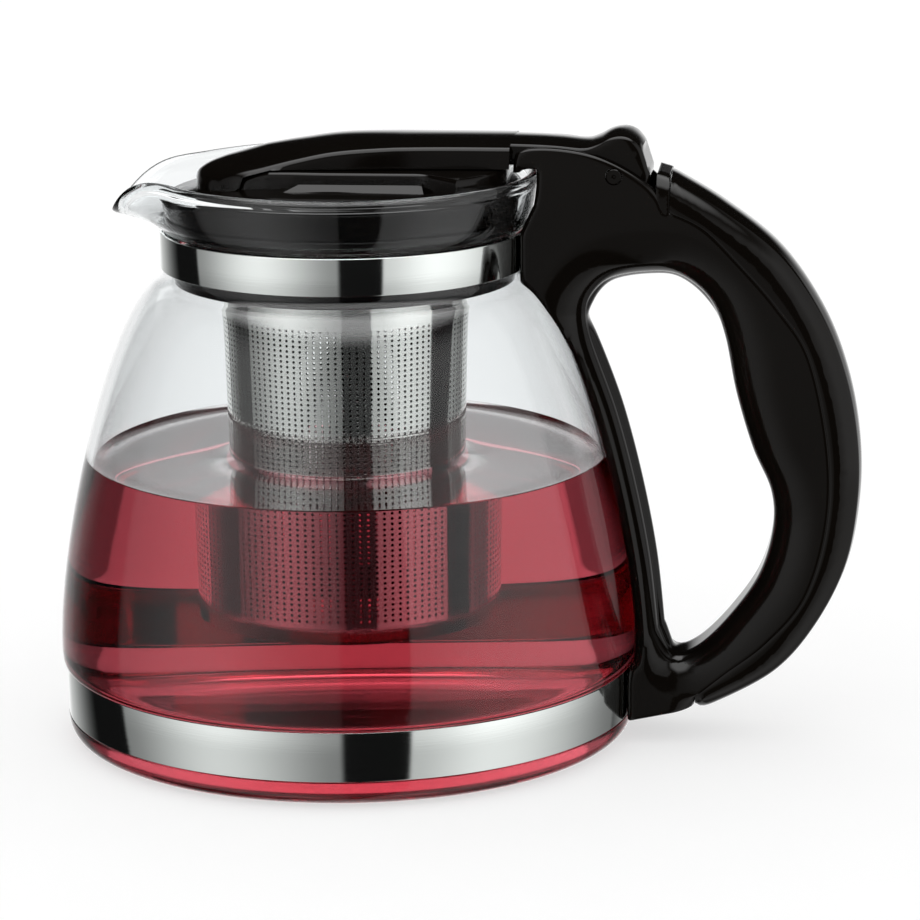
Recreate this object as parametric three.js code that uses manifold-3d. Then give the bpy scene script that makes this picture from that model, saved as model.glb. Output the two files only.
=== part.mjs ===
// Infusion pitcher: a glass jug with steel bands, a loop handle, a hinged lid and a drop-in infuser.
// Millimetres, +Z up. The origin is the centre of the foot, the handle is on +X, the pouring lip on -X.

import * as THREE from 'three';
import { mergeVertices } from 'three/addons/utils/BufferGeometryUtils.js';
import Module from 'manifold-3d';

const wasm = await Module();
wasm.setup();

// Clearances
const seatGap = 0.3;
const linerGap = 0.2;
const neckGap = 0.5;
const handleGap = 0.4;
const hornGap = 2.2;
const hingeGap = 0.4;
const swingGap = 0.7;
const overcut = 1;

// Glass vessel
const bellyRadius = 75.4;
const bellyAboveBand = 5.4;
const bellyRise = 27.7;
const footInset = 8.4;
const grooveDepth = 2.8;
const neckRadius = 45.86;
const shoulderFlare = 2.64;
const shoulderDrop = 3.8;
const shoulderRun = 12.8;
const shoulderFall = 8.7;
const rimFlare = 3.74;
const rimRise = 14.45;
const glassWall = 2.1;
const floorThickness = 3.2;
const spoutReach = 10.4;
const spoutDrop = 11;
const spoutLipLift = 1.5;
const spoutTaper = 2.5;
const spoutHalfAngle = THREE.MathUtils.degToRad(36);

// Steel bands and the liners that keep them off the glass
const lowerBandBottom = 7;
const lowerBandHeight = 12.6;
const upperBandBottom = 123.3;
const upperBandHeight = 9.5;
const bandThickness = 0.6;
const linerThickness = 0.4;
const linerInset = 0.6;
const earHeight = 7.2;
const earLength = 8;
const earThickness = 0.8;
const earSplit = 2.5;
const barrelRadius = 2.5;
const barrelLength = 8;
const barrelReach = 4.4;

// Clamp screws, one through each end of the handle
const clampShankRadius = 2;
const clampHeadRadius = 3.4;
const clampHeadHeight = 2.6;
const clampSocketRadius = 1.5;
const clampSocketDepth = 1.4;
const socketSides = 6;
const upperSeatReach = 14.26;
const lowerSeatReach = 11.4;

// Handle
const handleHalfWidth = 13;
const handleEdge = 0.8;
const handleFoot = 1.3;
const stripThickness = 5.4;
const gripReach = 56.7;
const cheekThickness = 2.1;
const cheekRadius = 25.4;
const hornUnderside = 3.05;
const hornTip = 5.4;
const capThickness = 3.4;
const capHeight = 0.7;
const capSlope = 1;
const strapDrop = 0.9;
const seamDrop = 9;

// Hinge and lid
const pinReach = 22.7;
const pinAboveRim = 0.85;
const pinRadius = 2;
const hubRadius = 8.9;
const slotRadius = 10.6;
const armHalfWidth = 18.5;
const armWaist = 15;
const armNose = 38;
const barTop = 7.1;
const tabHeight = 9.8;
const armShell = 1.8;
const discRecess = 2.2;
const discThickness = 2;
const discEdge = 1.6;
const crownRise = 2.9;
const crownRadius = 21;
const saddleHeight = 1.85;
const saddleLedge = 3;
const saddleFront = 19;
const saddleBend = 23;
const saddleRear = 37;
const saddleChamfer = 1.2;
const skirtWall = 2;
const skirtTaper = 0.8;
const lidGap = 1.6;
const lidScrewRadius = 1.5;
const lidScrewHeadRadius = 2.9;
const lidScrewHeadHeight = 2;
const lidScrewBite = 2.6;
const lidBossRadius = 3.6;
const frontScrewX = -3;
const rearScrewX = 17;

// Infuser
const flangeOverhang = 1.6;
const flangeThickness = 1.4;
const collarWall = 2;
const collarDrop = 3.5;
const collarFloor = 2;
const basketInset = 11.46;
const basketTaper = 1.5;
const basketFootHeight = 32.5;
const basketSheet = 0.6;
const basketFlange = 3.2;
const ringHeight = 2;
const baseLip = 3.5;

// Facets
const roundSegments = 48;
const smallSegments = 16;
const bevelFacets = 2;
const footFacets = 4;
const swellFacets = 2;
const sideFacets = 9;
const filletFacets = 2;
const flareFacets = 5;
const seamFacets = 26;
const outerFacets = 30;
const gapFacets = 44;
const crestFacets = 12;
const spineFacets = 34;
const planFacets = 16;

// Values that follow from the sizes above
const grooveRadius = bellyRadius - grooveDepth;
const footRadius = bellyRadius - footInset;
const bandStack = linerGap + linerThickness + linerGap + bandThickness;
const lowerBandRadius = grooveRadius + bandStack;
const upperBandRadius = neckRadius + bandStack;
const lowerBandTop = lowerBandBottom + lowerBandHeight;
const upperBandTop = upperBandBottom + upperBandHeight;
const lowerBandMiddle = lowerBandBottom + lowerBandHeight / 2;
const upperBandMiddle = upperBandBottom + upperBandHeight / 2;
const bandSpan = upperBandMiddle - lowerBandMiddle;
const bellyHeight = lowerBandTop + bellyAboveBand;
const rimHeight = upperBandTop + rimRise;
const rimRadius = neckRadius + rimFlare;
const neckInner = neckRadius - glassWall;
const pinX = upperBandRadius + pinReach;
const pinZ = rimHeight + pinAboveRim;
const slotHalfWidth = handleHalfWidth - cheekThickness;
const barHalfWidth = slotHalfWidth - hingeGap;
const discTop = rimHeight - discRecess;
const discRadius = neckInner + lidGap;
const crownTop = discTop + crownRise;
const saddleTop = crownTop + saddleHeight;
const armFoot = saddleTop + seatGap;
const armRear = pinX - cheekRadius - swingGap;
const collarRadius = neckInner - neckGap;
const collarBottom = upperBandBottom - collarDrop;
const floorTop = collarBottom + collarFloor;
const basketTopRadius = collarRadius - basketInset;
const basketFootRadius = basketTopRadius - basketTaper;
const upperScrewSeat = bellyRadius + upperSeatReach;
const lowerScrewSeat = bellyRadius + lowerSeatReach;

// Finishes
const clearGlass = { color: 0xdfe8e4, roughness: 0.05, transparent: true, opacity: 0.35 };
const mirrorSteel = { color: 0xc9ced0, roughness: 0.15, metalness: 1 };
const screwSteel = { color: 0x9aa0a3, roughness: 0.4, metalness: 1 };
const blackPlastic = { color: 0x0d0c0b, roughness: 0.2, metalness: 0 };
const brightFilm = { color: 0xbfc4c4, roughness: 0.2, metalness: 1 };

// A closed solid from a geometry: only positions are kept, and faces with no area are dropped
function solid(geometry) {
  const plain = geometry.index ? geometry.toNonIndexed() : geometry.clone();
  plain.deleteAttribute('normal');
  plain.deleteAttribute('uv');
  const merged = mergeVertices(plain);
  const place = merged.attributes.position;
  const corner = (index) => new THREE.Vector3().fromBufferAttribute(place, index);
  const triangles = [];
  let volume = 0;
  for (let i = 0; i < merged.index.count; i += 3) {
    const [a, b, c] = [0, 1, 2].map((step) => merged.index.getX(i + step));
    if (a === b || b === c || c === a) continue;
    triangles.push([a, b, c]);
    volume += corner(a).dot(corner(b).cross(corner(c)));
  }
  const facing = volume < 0 ? triangles.map(([a, b, c]) => [a, c, b]) : triangles;
  return new wasm.Manifold(new wasm.Mesh({
    numProp: 3,
    vertProperties: new Float32Array(place.array),
    triVerts: new Uint32Array(facing.flat()),
  }));
}

function geometryOf(body) {
  const mesh = body.getMesh();
  const geometry = new THREE.BufferGeometry();
  geometry.setAttribute('position', new THREE.BufferAttribute(mesh.vertProperties, 3));
  geometry.setIndex(new THREE.BufferAttribute(mesh.triVerts, 1));
  geometry.computeVertexNormals();
  return geometry;
}

// A turned geometry about the Z axis, from points of radius and height
function turnedGeometry(points) {
  return new THREE.LatheGeometry(points, roundSegments).rotateX(Math.PI / 2);
}

function turned(points) {
  return solid(turnedGeometry([...points, points[0]]));
}

function ring(innerRadius, outerRadius, bottom, top) {
  return turned([
    new THREE.Vector2(innerRadius, bottom),
    new THREE.Vector2(outerRadius, bottom),
    new THREE.Vector2(outerRadius, top),
    new THREE.Vector2(innerRadius, top),
  ]);
}

// A slab whose outline is drawn in X and Z, centred on the plane Y = 0
function slab(outline, halfWidth, edge = 0) {
  const geometry = new THREE.ExtrudeGeometry(outline, {
    depth: 2 * (halfWidth - edge),
    bevelEnabled: edge > 0,
    bevelThickness: edge,
    bevelSize: edge,
    bevelOffset: -edge,
    bevelSegments: bevelFacets,
    curveSegments: smallSegments,
  });
  return solid(geometry.translate(0, 0, edge - halfWidth).rotateX(Math.PI / 2));
}

// A block whose outline is drawn in X and Y
function block(outline, bottom, top) {
  const geometry = new THREE.ExtrudeGeometry(outline, { depth: top - bottom, bevelEnabled: false });
  return solid(geometry.translate(0, 0, bottom));
}

function box(low, high) {
  const size = high.clone().sub(low);
  const middle = low.clone().add(high).multiplyScalar(0.5);
  return solid(new THREE.BoxGeometry(size.x, size.y, size.z).translate(middle.x, middle.y, middle.z));
}

function rodAlongX(radius, from, to, height, sides = smallSegments) {
  const geometry = new THREE.CylinderGeometry(radius, radius, to - from, sides);
  return solid(geometry.rotateZ(Math.PI / 2).translate((from + to) / 2, 0, height));
}

function rodAlongY(radius, halfLength, x, height) {
  const geometry = new THREE.CylinderGeometry(radius, radius, 2 * halfLength, smallSegments);
  return solid(geometry.translate(x, 0, height));
}

function rodAlongZ(radius, x, bottom, top, sides = smallSegments) {
  const geometry = new THREE.CylinderGeometry(radius, radius, top - bottom, sides);
  return solid(geometry.rotateX(Math.PI / 2).translate(x, 0, (bottom + top) / 2));
}

const point = (x, y) => new THREE.Vector2(x, y);

// Outside of the glass, as radius and height, from the edge of the foot up to the rim
function glassOutline() {
  const grooveLow = point(grooveRadius, lowerBandBottom - seatGap);
  const grooveHigh = point(grooveRadius, lowerBandTop + seatGap);
  const belly = point(bellyRadius, bellyHeight);
  const neckLow = point(neckRadius, upperBandBottom - seatGap);
  const neckHigh = point(neckRadius, upperBandTop + seatGap / 2);
  const shoulder = point(neckRadius + shoulderFlare, upperBandBottom - shoulderDrop);
  const shoulderPull = point(shoulder.x + shoulderRun, shoulder.y - shoulderFall);
  const bend = shoulder.y + shoulderFlare * shoulderFall / shoulderRun;
  const lipFoot = point(rimRadius, rimHeight - glassWall / 2);
  const footSide = point(lowerBandRadius, grooveLow.y);
  const foot = new THREE.QuadraticBezierCurve(point(footRadius, 0), point(lowerBandRadius, 0), footSide);
  const swell = new THREE.QuadraticBezierCurve(grooveHigh, point(bellyRadius, grooveHigh.y), belly);
  const bellyPull = point(bellyRadius, bellyHeight + bellyRise);
  const side = new THREE.CubicBezierCurve(belly, bellyPull, shoulderPull, shoulder);
  const fillet = new THREE.QuadraticBezierCurve(shoulder, point(neckRadius, bend), neckLow);
  const flare = new THREE.CubicBezierCurve(
    neckHigh,
    point(neckRadius + rimFlare * 0.3, neckHigh.y + rimRise * 0.03),
    point(rimRadius - rimFlare * 0.2, neckHigh.y + rimRise * 0.28),
    lipFoot,
  );
  return [
    ...foot.getPoints(footFacets),
    grooveLow,
    ...swell.getPoints(swellFacets),
    ...side.getPoints(sideFacets).slice(1),
    ...fillet.getPoints(filletFacets).slice(1),
    ...flare.getPoints(flareFacets),
  ];
}

// The same outline moved along its own normal: outwards for a positive distance
function offsetOutline(outline, distanceAt) {
  return outline.map((here, i) => {
    const before = outline[Math.max(i - 1, 0)];
    const after = outline[Math.min(i + 1, outline.length - 1)];
    const along = after.clone().sub(before).normalize();
    const away = distanceAt(here);
    return point(here.x + along.y * away, here.y - along.x * away);
  });
}

const outside = glassOutline();

// Inside of the glass: a round corner on the floor, then one wall thickness in from the outside
const floorCorner = new THREE.QuadraticBezierCurve(
  point(footRadius - glassWall, floorThickness),
  point(grooveRadius - glassWall, floorThickness),
  point(grooveRadius - glassWall, lowerBandBottom + floorThickness),
);
const inside = [
  ...floorCorner.getPoints(footFacets),
  ...offsetOutline(outside, () => -glassWall).filter((here) => here.y > lowerBandTop),
];

function radiusAt(outline, height) {
  const above = outline.findIndex((here) => here.y >= height);
  const low = outline[Math.max(above - 1, 0)];
  const high = outline[above];
  const share = high.y > low.y ? (height - low.y) / (high.y - low.y) : 0;
  return low.x + (high.x - low.x) * THREE.MathUtils.clamp(share, 0, 1);
}

// Height in the flare above the neck where the inside of the glass has the given radius
function seatHeight(radius) {
  const flare = inside.filter((here) => here.y > upperBandTop);
  const above = flare.findIndex((here) => here.x >= radius);
  const low = flare[above - 1];
  const high = flare[above];
  return low.y + (high.y - low.y) * (radius - low.x) / (high.x - low.x);
}

// The glass is turned, then its rim is drawn out and down into the pouring lip on -X
function glassVessel() {
  const lipTop = point(rimRadius - glassWall / 2, rimHeight);
  const outerCount = outside.length + 1;
  const profile = [point(0, 0), ...outside, lipTop, ...inside.toReversed(), point(0, floorThickness)];
  const geometry = turnedGeometry(profile);
  const place = geometry.attributes.position;
  const flareFoot = upperBandTop + seatGap;
  for (let i = 0; i < place.count; i += 1) {
    const radius = Math.hypot(place.getX(i), place.getY(i));
    const turn = Math.abs(Math.atan2(place.getY(i), -place.getX(i)));
    const rise = (place.getZ(i) - flareFoot) / (rimHeight - flareFoot);
    if (rise <= 0 || turn >= spoutHalfAngle || radius === 0) continue;
    const pull = Math.cos(Math.PI / 2 * turn / spoutHalfAngle) ** 2;
    const isInner = i % profile.length > outerCount;
    const drop = spoutDrop - (isInner ? spoutLipLift : 0);
    const grown = 1 + spoutReach * pull * rise / radius;
    place.setXYZ(
      i,
      place.getX(i) * grown,
      place.getY(i) * grown,
      place.getZ(i) - drop * pull ** spoutTaper * rise,
    );
  }
  return solid(geometry);
}

// A steel strap: a ring opened behind the handle, with an ear turned out on each side of the opening
function strap(radius, bottom, height) {
  const middle = bottom + height / 2;
  const barrelX = radius + barrelReach;
  const opening = box(
    new THREE.Vector3(0, -earSplit, bottom - overcut),
    new THREE.Vector3(radius + overcut, earSplit, bottom + height + overcut),
  );
  const hoop = ring(radius - bandThickness, radius, bottom, bottom + height).subtract(opening);
  const ears = [-1, 1].map((side) => {
    const [near, far] = [side * earSplit, side * (earSplit + earThickness)].sort((a, b) => a - b);
    const inner = Math.sqrt((radius - bandThickness) ** 2 - earSplit ** 2);
    return box(
      new THREE.Vector3(inner + bandThickness / 4, near, middle - earHeight / 2),
      new THREE.Vector3(radius + earLength, far, middle + earHeight / 2),
    );
  });
  const eye = rodAlongY(barrelRadius + seatGap, barrelLength, barrelX, middle);
  return ears.reduce((whole, ear) => whole.add(ear), hoop).subtract(eye);
}

function liner(glassRadius, bottom, height) {
  const innerRadius = glassRadius + linerGap;
  return ring(innerRadius, innerRadius + linerThickness, bottom + linerInset, bottom + height - linerInset);
}

function barrelNut(bandRadius, height) {
  const x = bandRadius + barrelReach;
  const hole = rodAlongX(clampShankRadius - seatGap, x - 2 * barrelRadius, x + 2 * barrelRadius, height);
  return rodAlongY(barrelRadius, barrelLength / 2, x, height).subtract(hole);
}

// A screw along X whose tip is inside the barrel nut and whose head seats in the handle
function clampScrew(bandRadius, seat, height) {
  const tip = bandRadius + barrelReach - barrelRadius / 2;
  const nose = rodAlongX(clampShankRadius - 2 * seatGap, tip, bandRadius + earLength, height);
  const shank = rodAlongX(clampShankRadius, bandRadius + earLength - overcut, seat + overcut, height);
  const head = rodAlongX(clampHeadRadius, seat, seat + clampHeadHeight, height);
  const socketFoot = seat + clampHeadHeight - clampSocketDepth;
  const socketTop = seat + clampHeadHeight + overcut;
  const socket = rodAlongX(clampSocketRadius, socketFoot, socketTop, height, socketSides);
  return nose.add(shank).add(head).subtract(socket);
}

// Handle outlines: a point is a share of the reach beyond the belly, and of the way between the bands
const onHandle = (out, up) => point(bellyRadius + out * gripReach, lowerBandMiddle + up * bandSpan);
const nearPin = (x, z) => point(pinX + x, pinZ + z);

const gripBottom = onHandle(0.272, -0.036);
const notchTop = onHandle(0.275, -0.006);
const seamTop = point(pinX + slotRadius + capThickness, pinZ - seamDrop);

function seamCurve() {
  return new THREE.SplineCurve([
    notchTop,
    onHandle(0.414, 0.05),
    onHandle(0.591, 0.12),
    onHandle(0.767, 0.225),
    onHandle(0.861, 0.385),
    onHandle(0.868, 0.56),
    onHandle(0.781, 0.77),
    onHandle(0.637, 0.883),
    onHandle(0.474, 0.976),
    onHandle(0.309, 1.058),
    seamTop,
  ]);
}

function outerCurve() {
  return new THREE.SplineCurve([
    point(seamTop.x + seatGap, pinZ - strapDrop),
    onHandle(0.388, 1.099),
    onHandle(0.644, 0.998),
    onHandle(0.834, 0.862),
    onHandle(0.945, 0.72),
    onHandle(0.998, 0.576),
    onHandle(1, 0.44),
    onHandle(0.947, 0.292),
    onHandle(0.813, 0.154),
    onHandle(0.63, 0.046),
    onHandle(0.353, -0.032),
    gripBottom,
  ]);
}

// The finger gap: its near side runs parallel to the glass, the rest follows the hand
function fingerGap() {
  const besideGlass = (share) => {
    const height = lowerBandMiddle + share * bandSpan;
    return point(radiusAt(outside, height) + handleGap + stripThickness, height);
  };
  const shape = new THREE.Shape();
  shape.setFromPoints(new THREE.SplineCurve([
    besideGlass(0.14),
    besideGlass(0.3),
    besideGlass(0.47),
    besideGlass(0.64),
    besideGlass(0.8),
    onHandle(-0.228, 0.855),
    onHandle(-0.201, 0.9),
    onHandle(-0.113, 0.938),
    onHandle(0.053, 0.953),
    onHandle(0.194, 0.946),
    onHandle(0.325, 0.894),
    onHandle(0.395, 0.812),
    onHandle(0.448, 0.682),
    onHandle(0.524, 0.556),
    onHandle(0.607, 0.46),
    onHandle(0.616, 0.372),
    onHandle(0.554, 0.264),
    onHandle(0.416, 0.164),
    onHandle(0.273, 0.094),
    onHandle(0.166, 0.08),
    besideGlass(0.14),
  ]).getPoints(gapFacets).slice(0, -1));
  return shape;
}

// Everything the handle wraps round: foot, bands, belly, shoulder, neck and rim, with a gap all over
function wrappedBody() {
  const low = lowerBandRadius + handleGap;
  const high = upperBandRadius + handleGap;
  const rimClear = rimRadius + hornGap;
  const flareShare = (here) => THREE.MathUtils.clamp(2 * (here.y - upperBandTop) / rimRise, 0, 1);
  const gapAt = (here) => handleGap + (hornGap - handleGap) * flareShare(here);
  const skin = offsetOutline(outside, gapAt);
  const shoulderTop = upperBandBottom - handleGap;
  const shoulder = skin.filter((here) => here.y > bellyHeight - seatGap && here.y < shoulderTop);
  const flare = skin.filter((here) => here.y > upperBandTop + handleGap && here.x > high);
  const top = rimHeight + hornUnderside;
  return turned([
    point(0, -bellyHeight),
    point(low, -bellyHeight),
    point(low, lowerBandTop + handleGap),
    point(bellyRadius + handleGap, lowerBandTop + bellyAboveBand / 3),
    ...shoulder.filter((here) => here.x > high),
    point(high, shoulderTop),
    point(high, upperBandTop + handleGap),
    ...flare,
    point(rimClear, rimHeight),
    point(rimClear, top),
    point(0, top),
  ]);
}

function hingeSlot() {
  const shape = new THREE.Shape();
  const floor = armFoot - swingGap;
  shape.moveTo(neckInner - armWaist, pinZ + 2 * tabHeight);
  shape.lineTo(neckInner - armWaist, floor);
  shape.lineTo(pinX - slotRadius, floor);
  shape.lineTo(pinX - slotRadius, pinZ);
  shape.absarc(pinX, pinZ, slotRadius, Math.PI, 2 * Math.PI, false);
  shape.lineTo(pinX + slotRadius, pinZ + 2 * tabHeight);
  return slab(shape, slotHalfWidth);
}

function earPocket(bandRadius, height) {
  const half = earHeight / 2 + 2 * seatGap;
  return box(
    new THREE.Vector3(bandRadius - overcut, -barrelLength / 2 - seatGap, height - half),
    new THREE.Vector3(bandRadius + earLength + seatGap, barrelLength / 2 + seatGap, height + half),
  );
}

// The hole for a clamp screw, with the counterbore that its head drops into from outside
function screwWay(bandRadius, seat, height) {
  const shank = rodAlongX(clampShankRadius + seatGap, bandRadius, seat, height);
  return shank.add(rodAlongX(clampHeadRadius + seatGap, seat - seatGap, seat + 2 * bellyAboveBand, height));
}

function handleFrame() {
  const foot = lowerBandBottom - handleFoot;
  const horn = (z) => point(pinX - Math.sqrt(cheekRadius ** 2 - z ** 2), pinZ + z);
  const onCheek = (x, z) => nearPin(x * cheekRadius, z * cheekRadius);
  const crest = new THREE.SplineCurve([
    nearPin(slotRadius + capThickness - overcut, -seamDrop),
    onCheek(0.43, -0.173),
    onCheek(0.248, -0.016),
    onCheek(-0.012, 0.134),
    onCheek(-0.283, 0.228),
    onCheek(-0.583, 0.272),
    onCheek(-0.846, 0.268),
    horn(hornTip),
  ]);
  const outline = new THREE.Shape();
  outline.setFromPoints([
    point(lowerBandRadius - glassWall, foot),
    gripBottom.clone().sub(point(seatGap, 0)),
    ...seamCurve().getPoints(seamFacets),
    ...crest.getPoints(crestFacets),
    horn(hornUnderside - pinAboveRim),
    point(pinX - cheekRadius, upperBandBottom - shoulderFall),
    point(neckRadius + shoulderRun, lowerBandMiddle + bandSpan / 2),
  ]);
  outline.holes.push(fingerGap());
  const cap = new THREE.Shape([
    point(pinX + slotRadius, pinZ - slotRadius),
    point(seamTop.x, pinZ - slotRadius),
    point(seamTop.x, pinZ + capHeight - capSlope),
    point(pinX + slotRadius, pinZ + capHeight),
  ]);
  return slab(outline, handleHalfWidth, handleEdge)
    .subtract(hingeSlot())
    .add(slab(cap, slotHalfWidth))
    .subtract(wrappedBody())
    .subtract(earPocket(upperBandRadius, upperBandMiddle))
    .subtract(earPocket(lowerBandRadius, lowerBandMiddle))
    .subtract(screwWay(upperBandRadius, upperScrewSeat, upperBandMiddle))
    .subtract(screwWay(lowerBandRadius, lowerScrewSeat, lowerBandMiddle))
    .subtract(rodAlongY(pinRadius + seatGap, handleHalfWidth + overcut, pinX, pinZ));
}

// The cover on the outside of the grip, from the hinge cap down to the notch under the grip
function handleBackstrap() {
  const seam = seamCurve().getPoints(seamFacets);
  const lifted = seam.map((here, i) => {
    const before = seam[Math.max(i - 1, 0)];
    const after = seam[Math.min(i + 1, seam.length - 1)];
    const along = after.clone().sub(before).normalize();
    return point(here.x + along.y * seatGap, here.y - along.x * seatGap);
  });
  const outline = new THREE.Shape();
  outline.setFromPoints([...lifted, ...outerCurve().getPoints(outerFacets)]);
  return slab(outline, handleHalfWidth, handleEdge);
}

// Top line of the lid arm in side view, from the back of the thumb tab forward to the nose
function spinePoints() {
  const top = pinZ + barTop;
  return new THREE.SplineCurve([
    nearPin(tabHeight * 0.7, tabHeight * 0.66),
    nearPin(tabHeight * 0.49, tabHeight * 0.9),
    nearPin(tabHeight * 0.2, tabHeight),
    nearPin(-tabHeight * 0.13, tabHeight * 0.95),
    nearPin(-tabHeight * 0.44, tabHeight * 0.79),
    nearPin(-tabHeight * 0.8, barTop * 0.945),
    nearPin(-tabHeight * 1.5, barTop * 0.985),
    point(armRear * 0.54, top),
    point(armNose * 0.05, top - barTop * 0.056),
    point(-armNose * 0.29, top - barTop * 0.32),
    point(-armNose * 0.55, top - barTop * 0.59),
    point(-armNose * 0.76, top - barTop * 0.82),
    point(-armNose * 0.9, top - barTop * 0.97),
    point(-armNose * 0.98, top - barTop * 1.18),
    point(-armNose, discTop),
  ]).getPoints(spineFacets);
}

// Side view of the lid arm: nose, spine, thumb tab and the round hub on the pin
function armSide() {
  const shape = new THREE.Shape();
  shape.moveTo(-armNose, discTop);
  shape.lineTo(-saddleFront - seatGap, discTop);
  shape.lineTo(-saddleFront - seatGap, armFoot);
  shape.lineTo(pinX - hubRadius, armFoot);
  shape.lineTo(pinX - hubRadius, pinZ);
  shape.absarc(pinX, pinZ, hubRadius, Math.PI, 2 * Math.PI, false);
  spinePoints().slice(0, -1).forEach((here) => shape.lineTo(here.x, here.y));
  return shape;
}

// Side view of the hollow under the front of the arm, one shell thickness below the spine
function armHollow() {
  const roof = spinePoints()
    .map((here) => point(here.x, here.y - armShell))
    .filter((here) => here.x < armRear - armShell && here.y > armFoot + armShell / 2);
  const shape = new THREE.Shape();
  shape.setFromPoints([
    ...roof,
    point(roof.at(-1).x, armFoot - overcut),
    point(roof[0].x, armFoot - overcut),
  ]);
  return shape;
}

// Plan of the lid arm, drawn in by an inset: a rounded nose, a waist, and the bar between the cheeks
function armPlan(inset, rear) {
  const edge = new THREE.SplineCurve([
    point(-armNose + inset, 0),
    point(-armNose * 0.96 + inset, armHalfWidth * 0.38),
    point(-armNose * 0.83 + inset / 2, armHalfWidth * 0.7),
    point(-armNose * 0.58, armHalfWidth - inset),
    point(0, armHalfWidth * 0.95 - inset),
    point(armRear / 2, armWaist * 1.03 - inset),
    point(armRear - inset, armWaist - inset),
  ]).getPoints(planFacets);
  const half = rear > armRear
    ? [...edge, point(armRear, barHalfWidth), point(rear, barHalfWidth)]
    : edge;
  const shape = new THREE.Shape();
  shape.setFromPoints([
    ...half,
    ...half.toReversed().slice(0, -1).map((here) => point(here.x, -here.y)),
  ]);
  return shape;
}

function lidArm() {
  const top = pinZ + 2 * tabHeight;
  const blank = slab(armSide(), armHalfWidth + overcut).intersect(
    block(armPlan(0, pinX + 2 * tabHeight), pinZ - 2 * hubRadius, top),
  );
  const whole = blank.subtract(crown(seatGap));
  const hollow = slab(armHollow(), armHalfWidth).intersect(
    block(armPlan(armShell, 0), armFoot - overcut, top),
  );
  const bosses = [frontScrewX, rearScrewX].map((x) => (
    rodAlongZ(lidBossRadius, x, armFoot, top).intersect(whole)
  ));
  const pilots = [frontScrewX, rearScrewX].map((x) => (
    rodAlongZ(lidScrewRadius + seatGap, x, armFoot - overcut, armFoot + lidScrewBite)
  ));
  const shell = bosses.reduce((body, boss) => body.add(boss), whole.subtract(hollow));
  const bored = pilots.reduce((body, pilot) => body.subtract(pilot), shell);
  return bored.subtract(rodAlongY(pinRadius + hingeGap, handleHalfWidth, pinX, pinZ));
}

const flangeRadius = collarRadius + flangeOverhang;
const flangeBottom = seatHeight(flangeRadius + seatGap);
const flangeTop = flangeBottom + flangeThickness;

// The low cone on top of the lid disc, lifted by a gap where another piece lies on it
function crown(lift) {
  return turned([
    point(0, discTop - discThickness),
    point(discRadius - discEdge, discTop - discThickness),
    point(discRadius - discEdge, discTop + lift),
    point(crownRadius, crownTop + lift),
    point(0, crownTop + lift),
  ]);
}

// The raised seat of the arm: it is parallel behind the nose and spreads to the rim at the hinge
function saddle() {
  const half = armHalfWidth + saddleLedge;
  const spread = half + saddleRear - saddleBend;
  const outline = new THREE.Shape([
    point(-saddleFront, half),
    point(saddleBend, half),
    point(saddleRear, spread),
    point(saddleRear, -spread),
    point(saddleBend, -half),
    point(-saddleFront, -half),
  ]);
  const geometry = new THREE.ExtrudeGeometry(outline, {
    depth: crownRise,
    bevelThickness: saddleChamfer,
    bevelSize: saddleChamfer,
    bevelOffset: -saddleChamfer,
    bevelSegments: 1,
  });
  const trim = solid(new THREE.CylinderGeometry(
    discRadius - 2 * discEdge,
    discRadius - 2 * discEdge,
    2 * saddleTop,
    roundSegments,
  ).rotateX(Math.PI / 2));
  return solid(geometry.translate(0, 0, saddleTop - saddleChamfer - crownRise)).intersect(trim);
}

// The lid disc: a shallow cup that stands upside down on the collar, with a low cone and the saddle on it
function lidDisc() {
  const bottom = flangeTop + seatGap;
  const outer = turned([
    point(0, crownTop),
    point(crownRadius, crownTop),
    point(discRadius - discEdge, discTop),
    point(discRadius - discEdge * 0.3, discTop - discEdge * 0.3),
    point(discRadius, discTop - discEdge),
    point(discRadius - skirtTaper, bottom),
    point(0, bottom),
  ]);
  const hollow = turned([
    point(0, crownTop - discThickness),
    point(crownRadius, crownTop - discThickness),
    point(discRadius - skirtWall - 2 * discEdge, discTop - discThickness),
    point(discRadius - skirtWall - discEdge, discTop - discThickness - discEdge),
    point(discRadius - skirtTaper - skirtWall, bottom - overcut),
    point(0, bottom - overcut),
  ]);
  const holes = [frontScrewX, rearScrewX].map((x) => (
    rodAlongZ(lidScrewRadius + seatGap, x, discTop - discThickness, saddleTop + overcut)
  ));
  const cup = outer.add(saddle()).subtract(hollow);
  return holes.reduce((body, hole) => body.subtract(hole), cup);
}

function lidScrew(x) {
  const headTop = crownTop - discThickness - seatGap;
  const headFoot = headTop - lidScrewHeadHeight;
  const driveTop = headTop - lidScrewHeadHeight / 2;
  const shank = rodAlongZ(lidScrewRadius, x, headTop - overcut, armFoot + lidScrewBite - seatGap);
  const head = rodAlongZ(lidScrewHeadRadius, x, headFoot, headTop);
  const drive = rodAlongZ(lidScrewRadius, x, headFoot - overcut, driveTop, socketSides);
  return shank.add(head).subtract(drive);
}

// Funnel ring that hangs in the neck by its flange and carries the basket on its floor
function infuserCollar() {
  const innerWall = collarRadius - collarWall;
  return turned([
    point(flangeRadius, flangeBottom),
    point(flangeRadius, flangeTop),
    point(innerWall, flangeTop),
    point(innerWall, floorTop),
    point(basketTopRadius + seatGap, floorTop),
    point(basketTopRadius + seatGap, collarBottom),
    point(collarRadius - collarFloor / 2, collarBottom),
    point(collarRadius, collarBottom + collarFloor / 2),
    point(collarRadius, flangeBottom - flangeOverhang),
  ]);
}

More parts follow.
